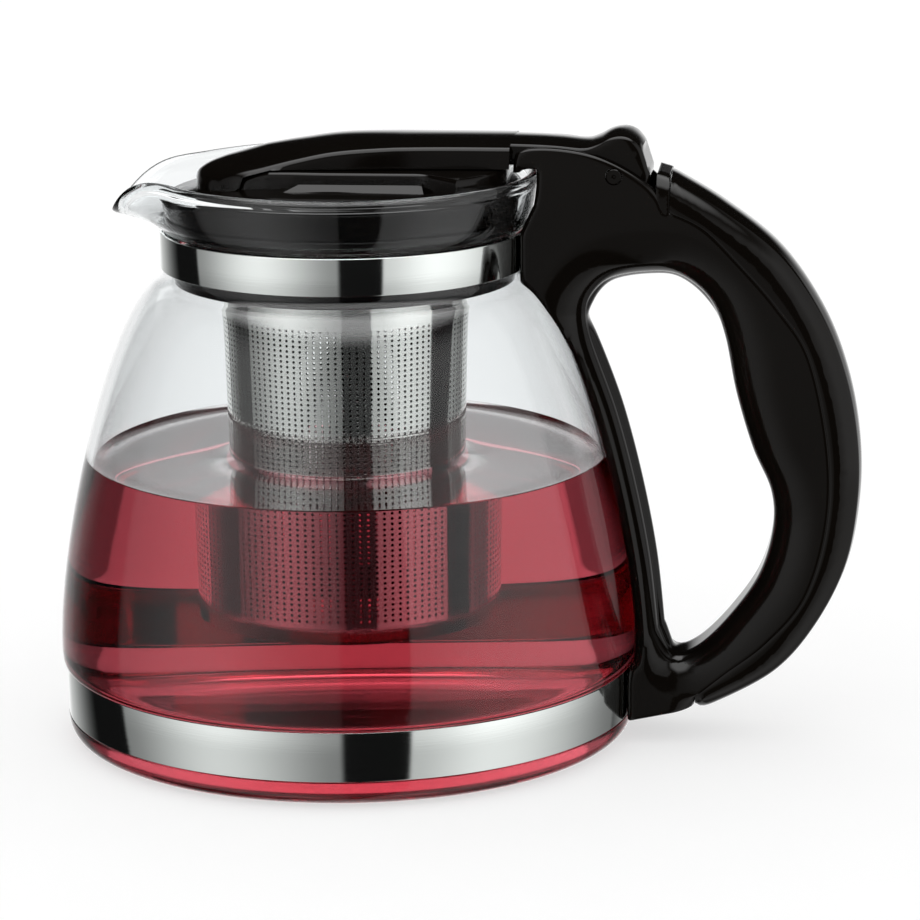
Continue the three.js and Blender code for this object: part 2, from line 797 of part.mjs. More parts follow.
function infuserWall() {
  const flangeFoot = floorTop + seatGap;
  const top = flangeFoot + basketSheet;
  const inner = basketTopRadius - basketSheet;
  return turned([
    point(basketTopRadius + basketFlange, flangeFoot),
    point(basketTopRadius + basketFlange, top),
    point(inner, top),
    point(basketFootRadius - basketSheet, basketFootHeight),
    point(basketFootRadius, basketFootHeight),
    point(basketTopRadius, flangeFoot),
  ]);
}

function infuserBase() {
  const radius = basketFootRadius - basketSheet - seatGap;
  const foot = basketFootHeight + seatGap;
  return turned([
    point(0, foot),
    point(radius - baseLip / 3, foot),
    point(radius, foot + baseLip / 3),
    point(radius, foot + baseLip),
    point(radius - basketSheet, foot + baseLip),
    point(radius - basketSheet, foot + baseLip / 3 + basketSheet / 2),
    point(radius - baseLip / 3 - basketSheet / 2, foot + basketSheet),
    point(0, foot + basketSheet),
  ]);
}

function retainingRing() {
  const bottom = floorTop + seatGap + basketSheet + seatGap;
  const outer = collarRadius - collarWall - seatGap;
  return ring(basketTopRadius, outer, bottom, bottom + ringHeight);
}

const pitcher = new THREE.Group();

function addPart(name, body, finish) {
  const mesh = new THREE.Mesh(geometryOf(body), new THREE.MeshStandardMaterial(finish));
  mesh.name = name;
  pitcher.add(mesh);
}

addPart('glass_vessel', glassVessel(), clearGlass);
addPart('lower_band', strap(lowerBandRadius, lowerBandBottom, lowerBandHeight), mirrorSteel);
addPart('upper_band', strap(upperBandRadius, upperBandBottom, upperBandHeight), mirrorSteel);
addPart('lower_band_liner', liner(grooveRadius, lowerBandBottom, lowerBandHeight), brightFilm);
addPart('upper_band_liner', liner(neckRadius, upperBandBottom, upperBandHeight), brightFilm);
addPart('lower_barrel_nut', barrelNut(lowerBandRadius, lowerBandMiddle), screwSteel);
addPart('upper_barrel_nut', barrelNut(upperBandRadius, upperBandMiddle), screwSteel);
addPart('lower_clamp_screw', clampScrew(lowerBandRadius, lowerScrewSeat, lowerBandMiddle), screwSteel);
addPart('upper_clamp_screw', clampScrew(upperBandRadius, upperScrewSeat, upperBandMiddle), screwSteel);
addPart('handle_frame', handleFrame(), blackPlastic);
addPart('handle_backstrap', handleBackstrap(), blackPlastic);
addPart('hinge_pin', rodAlongY(pinRadius, handleHalfWidth, pinX, pinZ), blackPlastic);
addPart('lid_arm', lidArm(), blackPlastic);
addPart('lid_disc', lidDisc(), blackPlastic);
addPart('lid_screw_front', lidScrew(frontScrewX), screwSteel);
addPart('lid_screw_rear', lidScrew(rearScrewX), screwSteel);
addPart('infuser_collar', infuserCollar(), blackPlastic);
addPart('infuser_retaining_ring', retainingRing(), blackPlastic);
addPart('infuser_wall', infuserWall(), mirrorSteel);
addPart('infuser_base', infuserBase(), mirrorSteel);

export default pitcher;
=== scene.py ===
# %% [markdown]
# # An infusion pitcher
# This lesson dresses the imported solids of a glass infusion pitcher: a bell of clear glass with two
# steel bands, a loop handle, a hinged lid and a perforated infuser that hangs in the neck.
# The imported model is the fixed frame. Every piece made here is in metres in that same frame, so
# a piece lands where the solid is, and it moves with the body that it is told to ride on.

# %% Open the fixed frame
import math

import bmesh
import bpy
import numpy as np
from mathutils import Matrix, Vector
from mathutils.geometry import delaunay_2d_cdt


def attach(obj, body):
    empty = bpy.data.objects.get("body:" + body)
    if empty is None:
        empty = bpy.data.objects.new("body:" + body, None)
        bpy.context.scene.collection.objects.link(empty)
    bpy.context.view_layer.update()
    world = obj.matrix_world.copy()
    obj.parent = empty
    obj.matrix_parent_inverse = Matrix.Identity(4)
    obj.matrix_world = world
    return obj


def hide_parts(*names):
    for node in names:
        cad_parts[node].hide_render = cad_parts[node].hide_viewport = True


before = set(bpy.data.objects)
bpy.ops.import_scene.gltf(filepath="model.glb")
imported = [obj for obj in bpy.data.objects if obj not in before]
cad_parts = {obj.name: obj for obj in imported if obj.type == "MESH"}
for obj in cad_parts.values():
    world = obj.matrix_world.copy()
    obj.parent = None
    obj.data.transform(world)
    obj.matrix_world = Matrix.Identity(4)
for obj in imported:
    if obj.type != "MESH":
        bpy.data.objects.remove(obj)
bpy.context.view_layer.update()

scene = bpy.context.scene
scene.view_settings.view_transform = "Standard"
scene.cycles.max_bounces = 32
scene.cycles.transmission_bounces = 32
scene.cycles.glossy_bounces = 12
MM = 0.001

# %% [markdown]
# ## Shader maths as Python
# Materials, the world and Geometry Nodes are all node trees. Typing them socket by socket hides
# the idea, so one small class wraps a socket: `1 - mask` adds a Math node by itself.
# Every other node comes from one method, which sets the node's settings first and its sockets after.

# %% A socket with operators, and a maker of nodes
class Wire:
    """One output socket whose operators add Math nodes to its tree."""

    def __init__(self, tree, socket):
        self.tree = tree
        self.socket = socket

    def maths(self, operation, *values):
        node = self.tree.nodes.new("ShaderNodeMath")
        node.operation = operation
        for place, value in zip(node.inputs, values):
            plug(self.tree, place, value)
        return Wire(self.tree, node.outputs[0])

    def __add__(self, other):
        return self.maths("ADD", self, other)

    def __sub__(self, other):
        return self.maths("SUBTRACT", self, other)

    def __mul__(self, other):
        return self.maths("MULTIPLY", self, other)

    def __truediv__(self, other):
        return self.maths("DIVIDE", self, other)

    def __radd__(self, other):
        return self.maths("ADD", other, self)

    def __rsub__(self, other):
        return self.maths("SUBTRACT", other, self)

    def __rmul__(self, other):
        return self.maths("MULTIPLY", other, self)

    def __abs__(self):
        return self.maths("ABSOLUTE", self)

    def most(self, other):
        return self.maths("MAXIMUM", self, other)


def plug(tree, place, value):
    if isinstance(value, Wire):
        tree.links.new(value.socket, place)
    elif value is not None:
        place.default_value = value


class Tree:
    """A node tree with one method that makes any node."""

    def __init__(self, tree):
        self.tree = tree
        tree.nodes.clear()

    def make(self, kind, sockets=None, settings=None, out=0):
        node = self.tree.nodes.new(kind)
        for name, value in (settings or {}).items():
            setattr(node, name, value)
        for name, value in (sockets or {}).items():
            plug(self.tree, self.find(node.inputs, name), value)
        return Wire(self.tree, self.find(node.outputs, out)) if len(node.outputs) else node

    @staticmethod
    def find(sockets, name):
        if isinstance(name, int):
            return sockets[name]
        exact = [s for s in sockets if s.identifier == name]
        return exact[0] if exact else sockets[name]

    def ease(self, value, low, high, start=0.0, end=1.0):
        """A smooth step from start to end while the value goes from low to high."""
        sockets = {"Value": value, "From Min": low, "From Max": high, "To Min": start, "To Max": end}
        return self.make("ShaderNodeMapRange", sockets, {"interpolation_type": "SMOOTHSTEP"})

    def tint(self, factor, first, second):
        """A colour between two colours."""
        sockets = {"Factor_Float": factor, "A_Color": (*first, 1), "B_Color": (*second, 1)}
        return self.make("ShaderNodeMix", sockets, {"data_type": "RGBA"}, "Result_Color")

    def dot(self, first, second):
        """The dot product of two directions."""
        sockets = {0: first, 1: second}
        return self.make("ShaderNodeVectorMath", sockets, {"operation": "DOT_PRODUCT"}, "Value")

    def rays(self):
        """Masks of the rays that come from a mirror and of those that come through glass."""
        names = ("Is Glossy Ray", "Is Transmission Ray")
        return [self.make("ShaderNodeLightPath", out=name) for name in names]

    def noise(self, scale, stretch=(1, 1, 1), detail=3.0):
        """Noise on Object coordinates, stretched by a scale for each axis."""
        place = self.make("ShaderNodeTexCoord", out="Object")
        shaped = self.make("ShaderNodeMapping", {"Vector": place, "Scale": stretch})
        sockets = {"Vector": shaped, "Scale": scale, "Detail": detail}
        return self.make("ShaderNodeTexNoise", sockets, out="Fac")


print("the node maker is ready")

# %% [markdown]
# ## The camera
# The photograph was taken with a long lens from a little above and to the right. The angles come
# from the ellipses of the two bands: their flattening gives the height, their offset the side.
# A camera looks down its own -Z, so its axes are written as a rotation matrix.

# %% Camera
LENS_SIDE = math.radians(6)
LENS_DOWN = math.radians(13.34)
LENS_ROLL = math.radians(0.53)
LENS_PLACE = Vector((0.1398, -1.0519, 0.3223))
SENSOR_WIDTH = 36
FOCAL_PIXELS = 4200
IMAGE_PIXELS = 920
to_right = Vector((math.cos(LENS_SIDE), math.sin(LENS_SIDE), 0))
to_lens = Vector((math.sin(LENS_SIDE), -math.cos(LENS_SIDE), 0))


def make_camera():
    forward = -to_lens * math.cos(LENS_DOWN) + Vector((0, 0, -math.sin(LENS_DOWN)))
    level_up = to_right.cross(forward)
    right = to_right * math.cos(LENS_ROLL) - level_up * math.sin(LENS_ROLL)
    up = to_right * math.sin(LENS_ROLL) + level_up * math.cos(LENS_ROLL)
    data = bpy.data.cameras.new("photo_camera")
    data.sensor_width = SENSOR_WIDTH
    data.lens = SENSOR_WIDTH * FOCAL_PIXELS / IMAGE_PIXELS
    camera = bpy.data.objects.new("photo_camera", data)
    axes = Matrix((right, up, -forward)).transposed()
    camera.matrix_world = Matrix.Translation(LENS_PLACE) @ axes.to_4x4()
    scene.collection.objects.link(camera)
    scene.camera = camera
    return data.lens


print("lens", round(make_camera(), 1), "mm")

# %% [markdown]
# ## Studio
# The pitcher stands in a white studio with a tall soft box on each side, a wall behind and a lamp
# overhead. Polished steel and black plastic show little but these, so they are drawn in the world.
# An angle counts in degrees round the pitcher, from the lens to the right. A height is the sine of
# the angle above the horizon. Diffuse surfaces get plain even light, and the camera sees white.
# The floor takes the soft shadow, and mirrors and glass look through it to the same studio, except
# right under the pitcher, where glass sees a dim dark red glow of painted shade.

# %% World
LEFT_BOX = {"middle": -54, "reach": (46.5, 50), "edge": (0.3, 0.3), "power": 0.92}
RIGHT_BOX = {"middle": 59, "reach": (33.2, 74), "edge": (0.6, 0.2), "power": 1.12}
BOX_TOP = (0.8, 0.55)
BOX_FOOT = (-0.3, -0.17, 0.9, 1.2)
BACKDROP_TOP = (0.02, 0.19)
BACKDROP_TOP_THROUGH = (0.42, 0.62)
CLEAR_WALL = (144, 147)
CLEAR_HAZE = (118, 142, 0.06, 0.38)
MIRROR_WALL = (122, 168, 0.0, 0.75)
MIRROR_GLOW = (155, 170, 0.0, 0.3)
SHADE_START = (100, 112, 0.0, 0.38)
SHADE_END = (172, 142)
LIFT_START = (0.22, 0.27, 0.0, 1.0)
LIFT_END = (0.36, 0.3)
OVERHEAD = (0.72, 0.9, 0.0, 5.0)
DARKEST = 0.006


def soft_box(tree, angle, box):
    """Brightness that swells to the middle of a box and ends at its sides."""
    off = angle - math.radians(box["middle"])
    sides = []
    for turn, reach, edge in zip((-1, 1), box["reach"], box["edge"]):
        across = (off * turn / math.radians(reach)).most(0.0)
        sides.append(tree.ease(across, 1.05, 0.0, edge, 1.0) * tree.ease(across, 1.06, 1.0))
    return sides[0] * sides[1] * box["power"]


def backdrop(tree, angle, height, through):
    """A white wall behind that fades out upwards, dimmer on the right and wider through the glass."""

    def turn(start, end, first=0.0, last=1.0, wire=abs(angle)):
        return tree.ease(wire, math.radians(start), math.radians(end), first, last)

    clear = turn(*CLEAR_WALL).most(turn(*CLEAR_HAZE))
    mirror = turn(*MIRROR_WALL) + turn(*MIRROR_GLOW)
    wall = through * clear + (1 - through) * mirror
    shade = 1 - turn(*SHADE_START, angle) * turn(*SHADE_END, wire=angle)
    low, high = (a + through * (b - a) for a, b in zip(BACKDROP_TOP, BACKDROP_TOP_THROUGH))
    lift = 1 + through * tree.ease(height, *LIFT_START) * tree.ease(height, *LIFT_END)
    return wall * shade * tree.ease(height, high, low) * lift


def make_world():
    world = bpy.data.worlds.new("studio")
    scene.world = world
    world.use_nodes = True
    tree = Tree(world.node_tree)
    direction = tree.make("ShaderNodeTexCoord", out="Generated")
    height, right, near = (tree.dot(direction, tuple(axis)) for axis in ((0, 0, 1), to_right, to_lens))
    angle = right.maths("ARCTAN2", right, near)
    boxes = soft_box(tree, angle, LEFT_BOX) + soft_box(tree, angle, RIGHT_BOX)
    boxes = boxes * (tree.ease(height, *BOX_TOP) * tree.ease(height, *BOX_FOOT))
    mirrored, through = tree.rays()
    overhead = mirrored * tree.ease(height, *OVERHEAD)
    studio = boxes.most(backdrop(tree, angle, height, through)).most(overhead).most(DARKEST)
    shown = mirrored.most(through)
    strength = shown * studio + (1 - shown)
    light = tree.make("ShaderNodeBackground", {"Color": (1, 1, 1, 1), "Strength": strength})
    tree.make("ShaderNodeOutputWorld", {"Surface": light})


make_world()
print("studio boxes at", LEFT_BOX["middle"], "and", RIGHT_BOX["middle"], "degrees")

# %% Floor
FLOOR_RADIUS = 3.0
FLOOR_DEPTH = 0.0002
FLOOR_GLOW = 0.6
# Reach and colour of the painted shade that rays through the glass see on the floor under the pitcher.
PAINTED_SHADE_REACH = (0.082, 0.076)
PAINTED_SHADE_COLOUR = (0.05, 0.015, 0.015, 1)


def floor_finish():
    finish = bpy.data.materials.new("studio_floor")
    finish.use_nodes = True
    tree = Tree(finish.node_tree)
    grain = tree.noise(40)
    pale = tree.tint(grain, (0.42, 0.42, 0.42), (0.44, 0.44, 0.44))
    paper = tree.make("ShaderNodeBsdfDiffuse", {"Color": pale})
    glow = tree.make("ShaderNodeEmission", {"Color": (1, 1, 1, 1), "Strength": FLOOR_GLOW})
    lit = tree.make("ShaderNodeAddShader", {0: paper, 1: glow})
    clear = tree.make("ShaderNodeBsdfTransparent")
    # Painted shade: a dim dark red glow that rays through the glass see on the floor right under the
    # pitcher.
    painted_shade = tree.make("ShaderNodeEmission", {"Color": PAINTED_SHADE_COLOUR})
    place = tree.make("ShaderNodeTexCoord", out="Object")
    away = tree.make("ShaderNodeVectorMath", {0: place}, {"operation": "LENGTH"}, "Value")
    mirrored, through = tree.rays()
    under = through * tree.ease(away, *PAINTED_SHADE_REACH)
    seen = tree.make("ShaderNodeMixShader", {0: under, 1: clear, 2: painted_shade})
    ground = tree.make("ShaderNodeMixShader", {0: mirrored.most(through), 1: lit, 2: seen})
    tree.make("ShaderNodeOutputMaterial", {"Surface": ground})
    return finish


def make_floor():
    mesh = bpy.data.meshes.new("studio_floor")
    shape = bmesh.new()
    bmesh.ops.create_circle(shape, cap_ends=True, segments=64, radius=FLOOR_RADIUS)
    shape.to_mesh(mesh)
    shape.free()
    mesh.transform(Matrix.Translation((0, 0, -FLOOR_DEPTH)))
    mesh.materials.append(floor_finish())
    floor = bpy.data.objects.new("studio_floor", mesh)
    scene.collection.objects.link(floor)


make_floor()
print("floor", FLOOR_RADIUS, "m")

# %% [markdown]
# ## Finishes
# Each finish starts from the Principled shader. Fixed numbers go straight onto its sockets, and
# only colour, roughness and the fine bump change over the surface, by noise on Object coordinates.

# %% Finish helpers
def finish_of(name, fixed, build):
    """A Principled finish: fixed socket values, then the varying ones that build returns."""
    finish = bpy.data.materials.new(name)
    finish.use_nodes = True
    tree = Tree(finish.node_tree)
    shader = tree.make("ShaderNodeBsdfPrincipled", {**fixed, **build(tree)})
    tree.make("ShaderNodeOutputMaterial", {"Surface": shader})
    return finish


def bump(tree, height, strength, depth):
    sockets = {"Height": height, "Strength": strength, "Distance": depth}
    return tree.make("ShaderNodeBump", sockets)


def mottled(scale, dark, light, rough, relief):
    """A surface whose colour, roughness and bump all follow one cloudy noise."""

    def build(tree):
        clouds = tree.noise(scale)
        return {
            "Base Color": tree.tint(clouds, dark, light),
            "Roughness": rough[0] + rough[1] * clouds,
            "Normal": bump(tree, clouds, *relief),
        }

    return build


print("finishes can be built")

# %% Steel, plastic and film
# The dark colour is painted shade on the faces turned towards the basket's axis.
BASKET_BRIGHT = (0.69, 0.70, 0.67)
BASKET_PAINTED_SHADE = (0.09, 0.09, 0.085)
BASKET_INSIDE = (-0.016, -0.004)


def polished_band(tree):
    streaks = tree.noise(3, (30, 30, 900))
    clouds = tree.noise(45)
    return {
        "Base Color": tree.tint(clouds, (0.70, 0.735, 0.715), (0.755, 0.785, 0.765)),
        "Roughness": 0.035 + 0.05 * streaks,
        "Normal": bump(tree, streaks, 0.04, 0.0002),
    }


def screen_sheet(tree):
    """Bright sheet whose inward faces get a painted shade, told apart by the normal's way from the
    axis.
    """
    streaks = tree.noise(3, (40, 40, 700))
    clouds = tree.noise(60)
    place = tree.make("ShaderNodeNewGeometry", out="Position")
    sockets = {0: place, 1: (1, 1, 0)}
    from_axis = tree.make("ShaderNodeVectorMath", sockets, {"operation": "MULTIPLY"}, "Vector")
    outward = tree.dot(tree.make("ShaderNodeNewGeometry", out="Normal"), from_axis)
    # Painted shade: faces turned towards the axis take the dark colour, so the inside looks shaded
    # through the holes.
    unshaded_face = tree.ease(outward, *BASKET_INSIDE) * (0.87 + 0.13 * clouds)
    return {
        "Base Color": tree.tint(unshaded_face, BASKET_PAINTED_SHADE, BASKET_BRIGHT),
        "Roughness": 0.045 + 0.045 * streaks,
        "Normal": bump(tree, streaks, 0.05, 0.0002),
    }


def gloss_black(tree):
    clouds = tree.noise(35)
    grain = tree.noise(900, detail=2)
    return {
        "Base Color": tree.tint(clouds, (0.0026, 0.0019, 0.0013), (0.0045, 0.0035, 0.0027)),
        "Roughness": 0.06 + 0.06 * clouds,
        "Normal": bump(tree, grain, 0.03, 0.0001),
    }


plated_screw = mottled(400, (0.50, 0.52, 0.54), (0.66, 0.68, 0.70), (0.28, 0.2), (0.1, 0.0003))
bright_film = mottled(60, (0.70, 0.72, 0.72), (0.78, 0.80, 0.80), (0.06, 0.06), (0.05, 0.0003))
metal = {"Metallic": 1.0}
band_steel = finish_of("band_steel", metal, polished_band)
basket_steel = finish_of("basket_steel", metal, screen_sheet)
fastener_steel = finish_of("fastener_steel", metal, plated_screw)
black_plastic = finish_of("black_plastic", {"IOR": 1.5, "Specular IOR Level": 0.18}, gloss_black)
liner_film = finish_of("liner_film", metal, bright_film)
print("five solid finishes")

# %% [markdown]
# Glass and tea are see-through, so they need real thickness and a real refractive index. The tea
# takes its red from the depth of liquid that light crosses, which a volume does better than a
# surface colour: thin edges stay pink, and the middle goes deep. Only its level surface has a coat,
# which mirrors the studio.

# %% Glass and tea
TEA_DEPTH_COLOUR = (0.75, 0.0, 0.11, 1)
TEA_DENSITY = 22.5
WEAK_SHINE = (0.5, 0.5, 0.5, 1)
FAINT_SHINE = (0.05, 0.05, 0.05, 1)
LEVEL_COAT = (0.4, 0.8, 0.0, 0.42)


def fire_polish(tree):
    clouds = tree.noise(25)
    return {
        "Base Color": tree.tint(clouds, (0.915, 0.935, 0.94), (0.94, 0.955, 0.96)),
        "Roughness": 0.004 * clouds,
    }


def tea_surface(tree):
    clouds = tree.noise(30)
    upright = tree.dot(tree.make("ShaderNodeNewGeometry", out="Normal"), (0, 0, 1))
    return {
        "Base Color": tree.tint(clouds, (0.99, 0.96, 0.965), (1.0, 0.98, 0.985)),
        "Roughness": 0.004 * clouds,
        "Coat Weight": tree.ease(upright, *LEVEL_COAT),
    }


see_through = {"Transmission Weight": 1.0, "Coat Roughness": 0.0}
glass_sockets = {**see_through, "IOR": 1.5, "Specular Tint": WEAK_SHINE}
tea_sockets = {**see_through, "IOR": 1.33, "Specular Tint": FAINT_SHINE}
clear_glass = finish_of("clear_glass", glass_sockets, fire_polish)
red_tea = finish_of("red_tea", tea_sockets, tea_surface)
tea_tree = red_tea.node_tree
absorb = tea_tree.nodes.new("ShaderNodeVolumeAbsorption")
absorb.inputs["Color"].default_value = TEA_DEPTH_COLOUR
absorb.inputs["Density"].default_value = TEA_DENSITY
tea_out = next(n for n in tea_tree.nodes if n.type == "OUTPUT_MATERIAL")
tea_tree.links.new(absorb.outputs[0], tea_out.inputs["Volume"])
print("glass and tea")

# %% [markdown]
# ## Making a piece
# A mesh comes from points and faces. Doubled points are merged, so that poles and seams close, the
# normals are turned outwards, and edges sharper than an angle stay crisp under smooth shading.
# Then the piece is hung on the body that carries it, the solids that it stands for are hidden, and it
# gets its finish.

# %% Mesh helpers
def clean_mesh(name, points, faces):
    mesh = bpy.data.meshes.new(name)
    mesh.from_pydata([tuple(p) for p in np.asarray(points, float) * MM], [], faces)
    shape = bmesh.new()
    shape.from_mesh(mesh)
    bmesh.ops.remove_doubles(shape, verts=shape.verts, dist=1e-6)
    bmesh.ops.dissolve_degenerate(shape, edges=shape.edges, dist=1e-7)
    bmesh.ops.recalc_face_normals(shape, faces=shape.faces)
    shape.to_mesh(mesh)
    shape.free()
    return mesh


def skin(rows, count):
    """Faces between rows of points that each run round a loop."""
    faces = []
    for low in range(0, (rows - 1) * count, count):
        for k in range(count):
            after = (k + 1) % count
            faces.append((low + k, low + after, low + count + after, low + count + k))
    return faces


def soften(mesh, crisp):
    mesh.shade_smooth()
    mesh.set_sharp_from_angle(angle=math.radians(crisp))


def place(mesh, body, slot, finish, solids=(), crisp=35):
    """Puts a finished mesh in the scene as a piece that rides on a body."""
    mesh.materials.clear()
    mesh.materials.append(finish)
    soften(mesh, crisp)
    piece = bpy.data.objects.new(mesh.name, mesh)
    scene.collection.objects.link(piece)
    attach(piece, body)
    if solids:
        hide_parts(*solids)
    mesh.calc_loop_triangles()
    print(mesh.name, len(mesh.loop_triangles), "triangles on", body)
    return piece


print("meshes can be cleaned, skinned and placed")

# %% Outlines and turning
def bezier(points, steps):
    """A Bezier curve from its control points, as an array of plane points."""
    share = np.linspace(0, 1, steps + 1)[:, None]
    row = [np.array(p, float) for p in points]
    while len(row) > 1:
        row = [a * (1 - share) + b * share for a, b in zip(row, row[1:])]
    return row[0]


def arc(centre, radius, start, end, count):
    """Points of a round arc between two angles."""
    turns = np.linspace(start, end, count)
    return np.stack([centre[0] + radius * np.cos(turns), centre[1] + radius * np.sin(turns)], 1)


def spline(points, steps):
    """A smooth curve through every point, evenly divided between them."""
    points = np.asarray(points, float)
    padded = np.vstack([points[:1], points, points[-1:]])
    span = np.linspace(0, len(points) - 1, steps + 1)
    index = np.minimum(span.astype(int), len(points) - 2)
    t = (span - index)[:, None]
    a, b, c, d = (padded[index + k] for k in range(4))
    start, end = (c - a) / 2, (d - b) / 2
    cubic, square = 2 * b - 2 * c + start + end, 3 * c - 3 * b - 2 * start - end
    return cubic * t**3 + square * t**2 + start * t + b


def eased(corners, steps=5):
    """A closed outline with each corner (x, z, radius) rounded off."""
    done = []
    for k, (x, z, radius) in enumerate(corners):
        here = np.array([x, z])
        before = np.array(corners[k - 1][:2]) - here
        after = np.array(corners[(k + 1) % len(corners)][:2]) - here
        if radius == 0:
            done.append(here)
            continue
        before_length, after_length = np.linalg.norm(before), np.linalg.norm(after)
        before, after = before / before_length, after / after_length
        half = math.acos(np.clip(before @ after, -1, 1)) / 2
        cut = min(radius / math.tan(half), before_length * 0.49, after_length * 0.49)
        done.extend(bezier([here + before * cut, here, here + after * cut], steps))
    return np.array(done)


def turned(outline, segments, start=0.0, sweep=2 * math.pi, closed=True):
    """Points and faces of an outline of radius and height turned about Z."""
    outline = np.asarray(outline, float)
    whole = abs(sweep - 2 * math.pi) < 1e-9
    angles = start + sweep * np.arange(segments + (not whole)) / segments
    x, y = (np.outer(wave(angles), outline[:, 0]) for wave in (np.cos, np.sin))
    ring = np.stack([x, y, np.tile(outline[:, 1], (len(angles), 1))], -1)
    count = len(outline)
    faces = []
    for i in range(segments):
        first, second = i * count, (i + 1) % len(angles) * count
        for j in range(count if closed else count - 1):
            k = (j + 1) % count
            faces.append((first + j, second + j, second + k, first + k))
    if not whole:
        faces.append(tuple(range(count)))
        faces.append(tuple(range((len(angles) - 1) * count, len(angles) * count))[::-1])
    return ring.reshape(-1, 3), faces


print("bezier, arc, spline, eased and turned are ready")

# %% [markdown]
# ## Glass vessel
# The vessel is blown glass about two millimetres thick. It is a turned shape: foot, a shallow groove
# for the lower band, a bell-shaped side, a neck for the upper band and a flared rim with a bead.
# The rim is then drawn out and down on one side into the pouring lip. A wall with an inside and an
# outside is what makes it refract like glass, so the outline runs up outside and down inside.

# %% Glass outline
LOWER_BAND = (7.0, 19.6)
UPPER_BAND = (123.3, 132.8)
LOWER_BAND_RADIUS = 74.0
UPPER_BAND_RADIUS = 47.26
FOOT_RADIUS = 67.0
GROOVE_RADIUS = 72.6
BELLY = (75.3, 25.0)
NECK_RADIUS = 45.86
RIM = (49.6, 147.25)
GLASS_WALL = 2.1
GLASS_FLOOR = 2.3
BEAD = (48.62, 145.9)
BEAD_RADIUS = 1.45
BEAD_JOIN = 1.7
SEAT_GAP = 0.3
SHOULDER = (48.5, 119.5)
SHOULDER_PULL = (61.3, 110.8)
BELLY_PULL = 26.5
CORNER_TOP = 9.5
RISE_PULL = (17, 19)
NECK_PULL = 121.3
FLARE_PULL = [(46.98, 133.38), (48.85, 137.0)]


def glass_outside():
    neck_low = (NECK_RADIUS, UPPER_BAND[0] - SEAT_GAP)
    neck_high = (NECK_RADIUS, UPPER_BAND[1] + SEAT_GAP / 2)
    groove_low = (GROOVE_RADIUS, LOWER_BAND[0] - SEAT_GAP)
    groove_high = (GROOVE_RADIUS, LOWER_BAND[1] + SEAT_GAP)
    foot_side = (LOWER_BAND_RADIUS, groove_low[1])
    swell = [(LOWER_BAND_RADIUS + 0.2, groove_high[1]), (BELLY[0] - 0.1, groove_high[1])]
    return np.vstack([
        bezier([(FOOT_RADIUS, 0), (LOWER_BAND_RADIUS, 0), foot_side], 12),
        [groove_low, groove_high],
        bezier([*swell, (BELLY[0], BELLY[1] - 2.5), BELLY], 8),
        bezier([BELLY, (BELLY[0], BELLY[1] + BELLY_PULL), SHOULDER_PULL, SHOULDER], 140)[1:],
        bezier([SHOULDER, (NECK_RADIUS, NECK_PULL), neck_low], 14)[1:],
        bezier([neck_high, *FLARE_PULL, (RIM[0], RIM[1] - GLASS_WALL / 2)], 24),
    ])


def moved_in(outline, distance):
    """The outline moved along its own normal towards the axis."""
    first, last = outline[1:2] - outline[:1], outline[-1:] - outline[-2:-1]
    along = np.vstack([first, outline[2:] - outline[:-2], last])
    along /= np.linalg.norm(along, axis=1)[:, None]
    return outline + np.stack([-along[:, 1], along[:, 0]], 1) * distance


outside = glass_outside()


def glass_inside(wall):
    """The inside of the glass at a wall thickness, from the floor's edge up to the rim."""
    side = GROOVE_RADIUS - wall
    floor_top = GLASS_FLOOR + wall - GLASS_WALL
    corner = bezier([(FOOT_RADIUS - wall, floor_top), (side + 2, floor_top), (side, CORNER_TOP)], 10)
    upper = moved_in(outside, wall)
    upper = upper[upper[:, 1] > BELLY[1] + 1]
    rise = bezier([corner[-1], (side, RISE_PULL[0]), (upper[0, 0], RISE_PULL[1]), upper[0]], 12)
    return np.vstack([corner, rise[1:-1], upper])


inside = glass_inside(GLASS_WALL)
print("glass outline", len(outside), "points outside,", len(inside), "inside")

# %% Pouring lip and vessel
LIP_HALF_ANGLE = math.radians(36)
LIP_REACH = 10.4
LIP_DROP_OUTSIDE = 11.0
LIP_DROP_INSIDE = 9.5
FLARE_FOOT = UPPER_BAND[1] + SEAT_GAP
GLASS_SEGMENTS = 176


def draw_out_lip(points, drop):
    """Pulls the rim outwards and down round the -X side."""
    radius = np.hypot(points[:, 0], points[:, 1])
    turn = np.abs(np.arctan2(points[:, 1], -points[:, 0]))
    rise = np.maximum((points[:, 2] - FLARE_FOOT) / (RIM[1] - FLARE_FOOT), 0)
    pull = np.where(turn < LIP_HALF_ANGLE, np.cos(math.pi / 2 * turn / LIP_HALF_ANGLE) ** 2, 0)
    grown = 1 + LIP_REACH * pull * rise / np.maximum(radius, 1)
    done = points * np.stack([grown, grown, np.ones_like(grown)], 1)
    done[:, 2] -= drop * pull**2.5 * rise
    return done


def make_glass():
    join = BEAD[1] - BEAD_JOIN
    bead = arc(BEAD, BEAD_RADIUS, math.radians(-35), math.radians(215), 15)
    up = outside[outside[:, 1] < join]
    down = inside[inside[:, 1] < join][::-1]
    outline = np.vstack([[(0, 0)], up, bead, down, [(0, GLASS_FLOOR)]])
    drops = np.concatenate([
        np.full(len(up) + 1, LIP_DROP_OUTSIDE),
        np.linspace(LIP_DROP_OUTSIDE, LIP_DROP_INSIDE, len(bead)),
        np.full(len(down) + 1, LIP_DROP_INSIDE),
    ])
    points, faces = turned(outline, GLASS_SEGMENTS, closed=False)
    points = draw_out_lip(points, np.tile(drops, GLASS_SEGMENTS))
    mesh = clean_mesh("blown_glass_vessel", points, faces)
    place(mesh, "jug", "glass", clear_glass, ["glass_vessel"], 40)


make_glass()

# %% [markdown]
# ## Tea
# The drink is not part of the pitcher, but the photograph shows the pitcher half full and the glass
# looks wrong without it. Its skin reaches a hair into the glass wall, which is how a path tracer
# gets the right bend from glass to liquid. Its surface climbs a little at the glass and the basket.

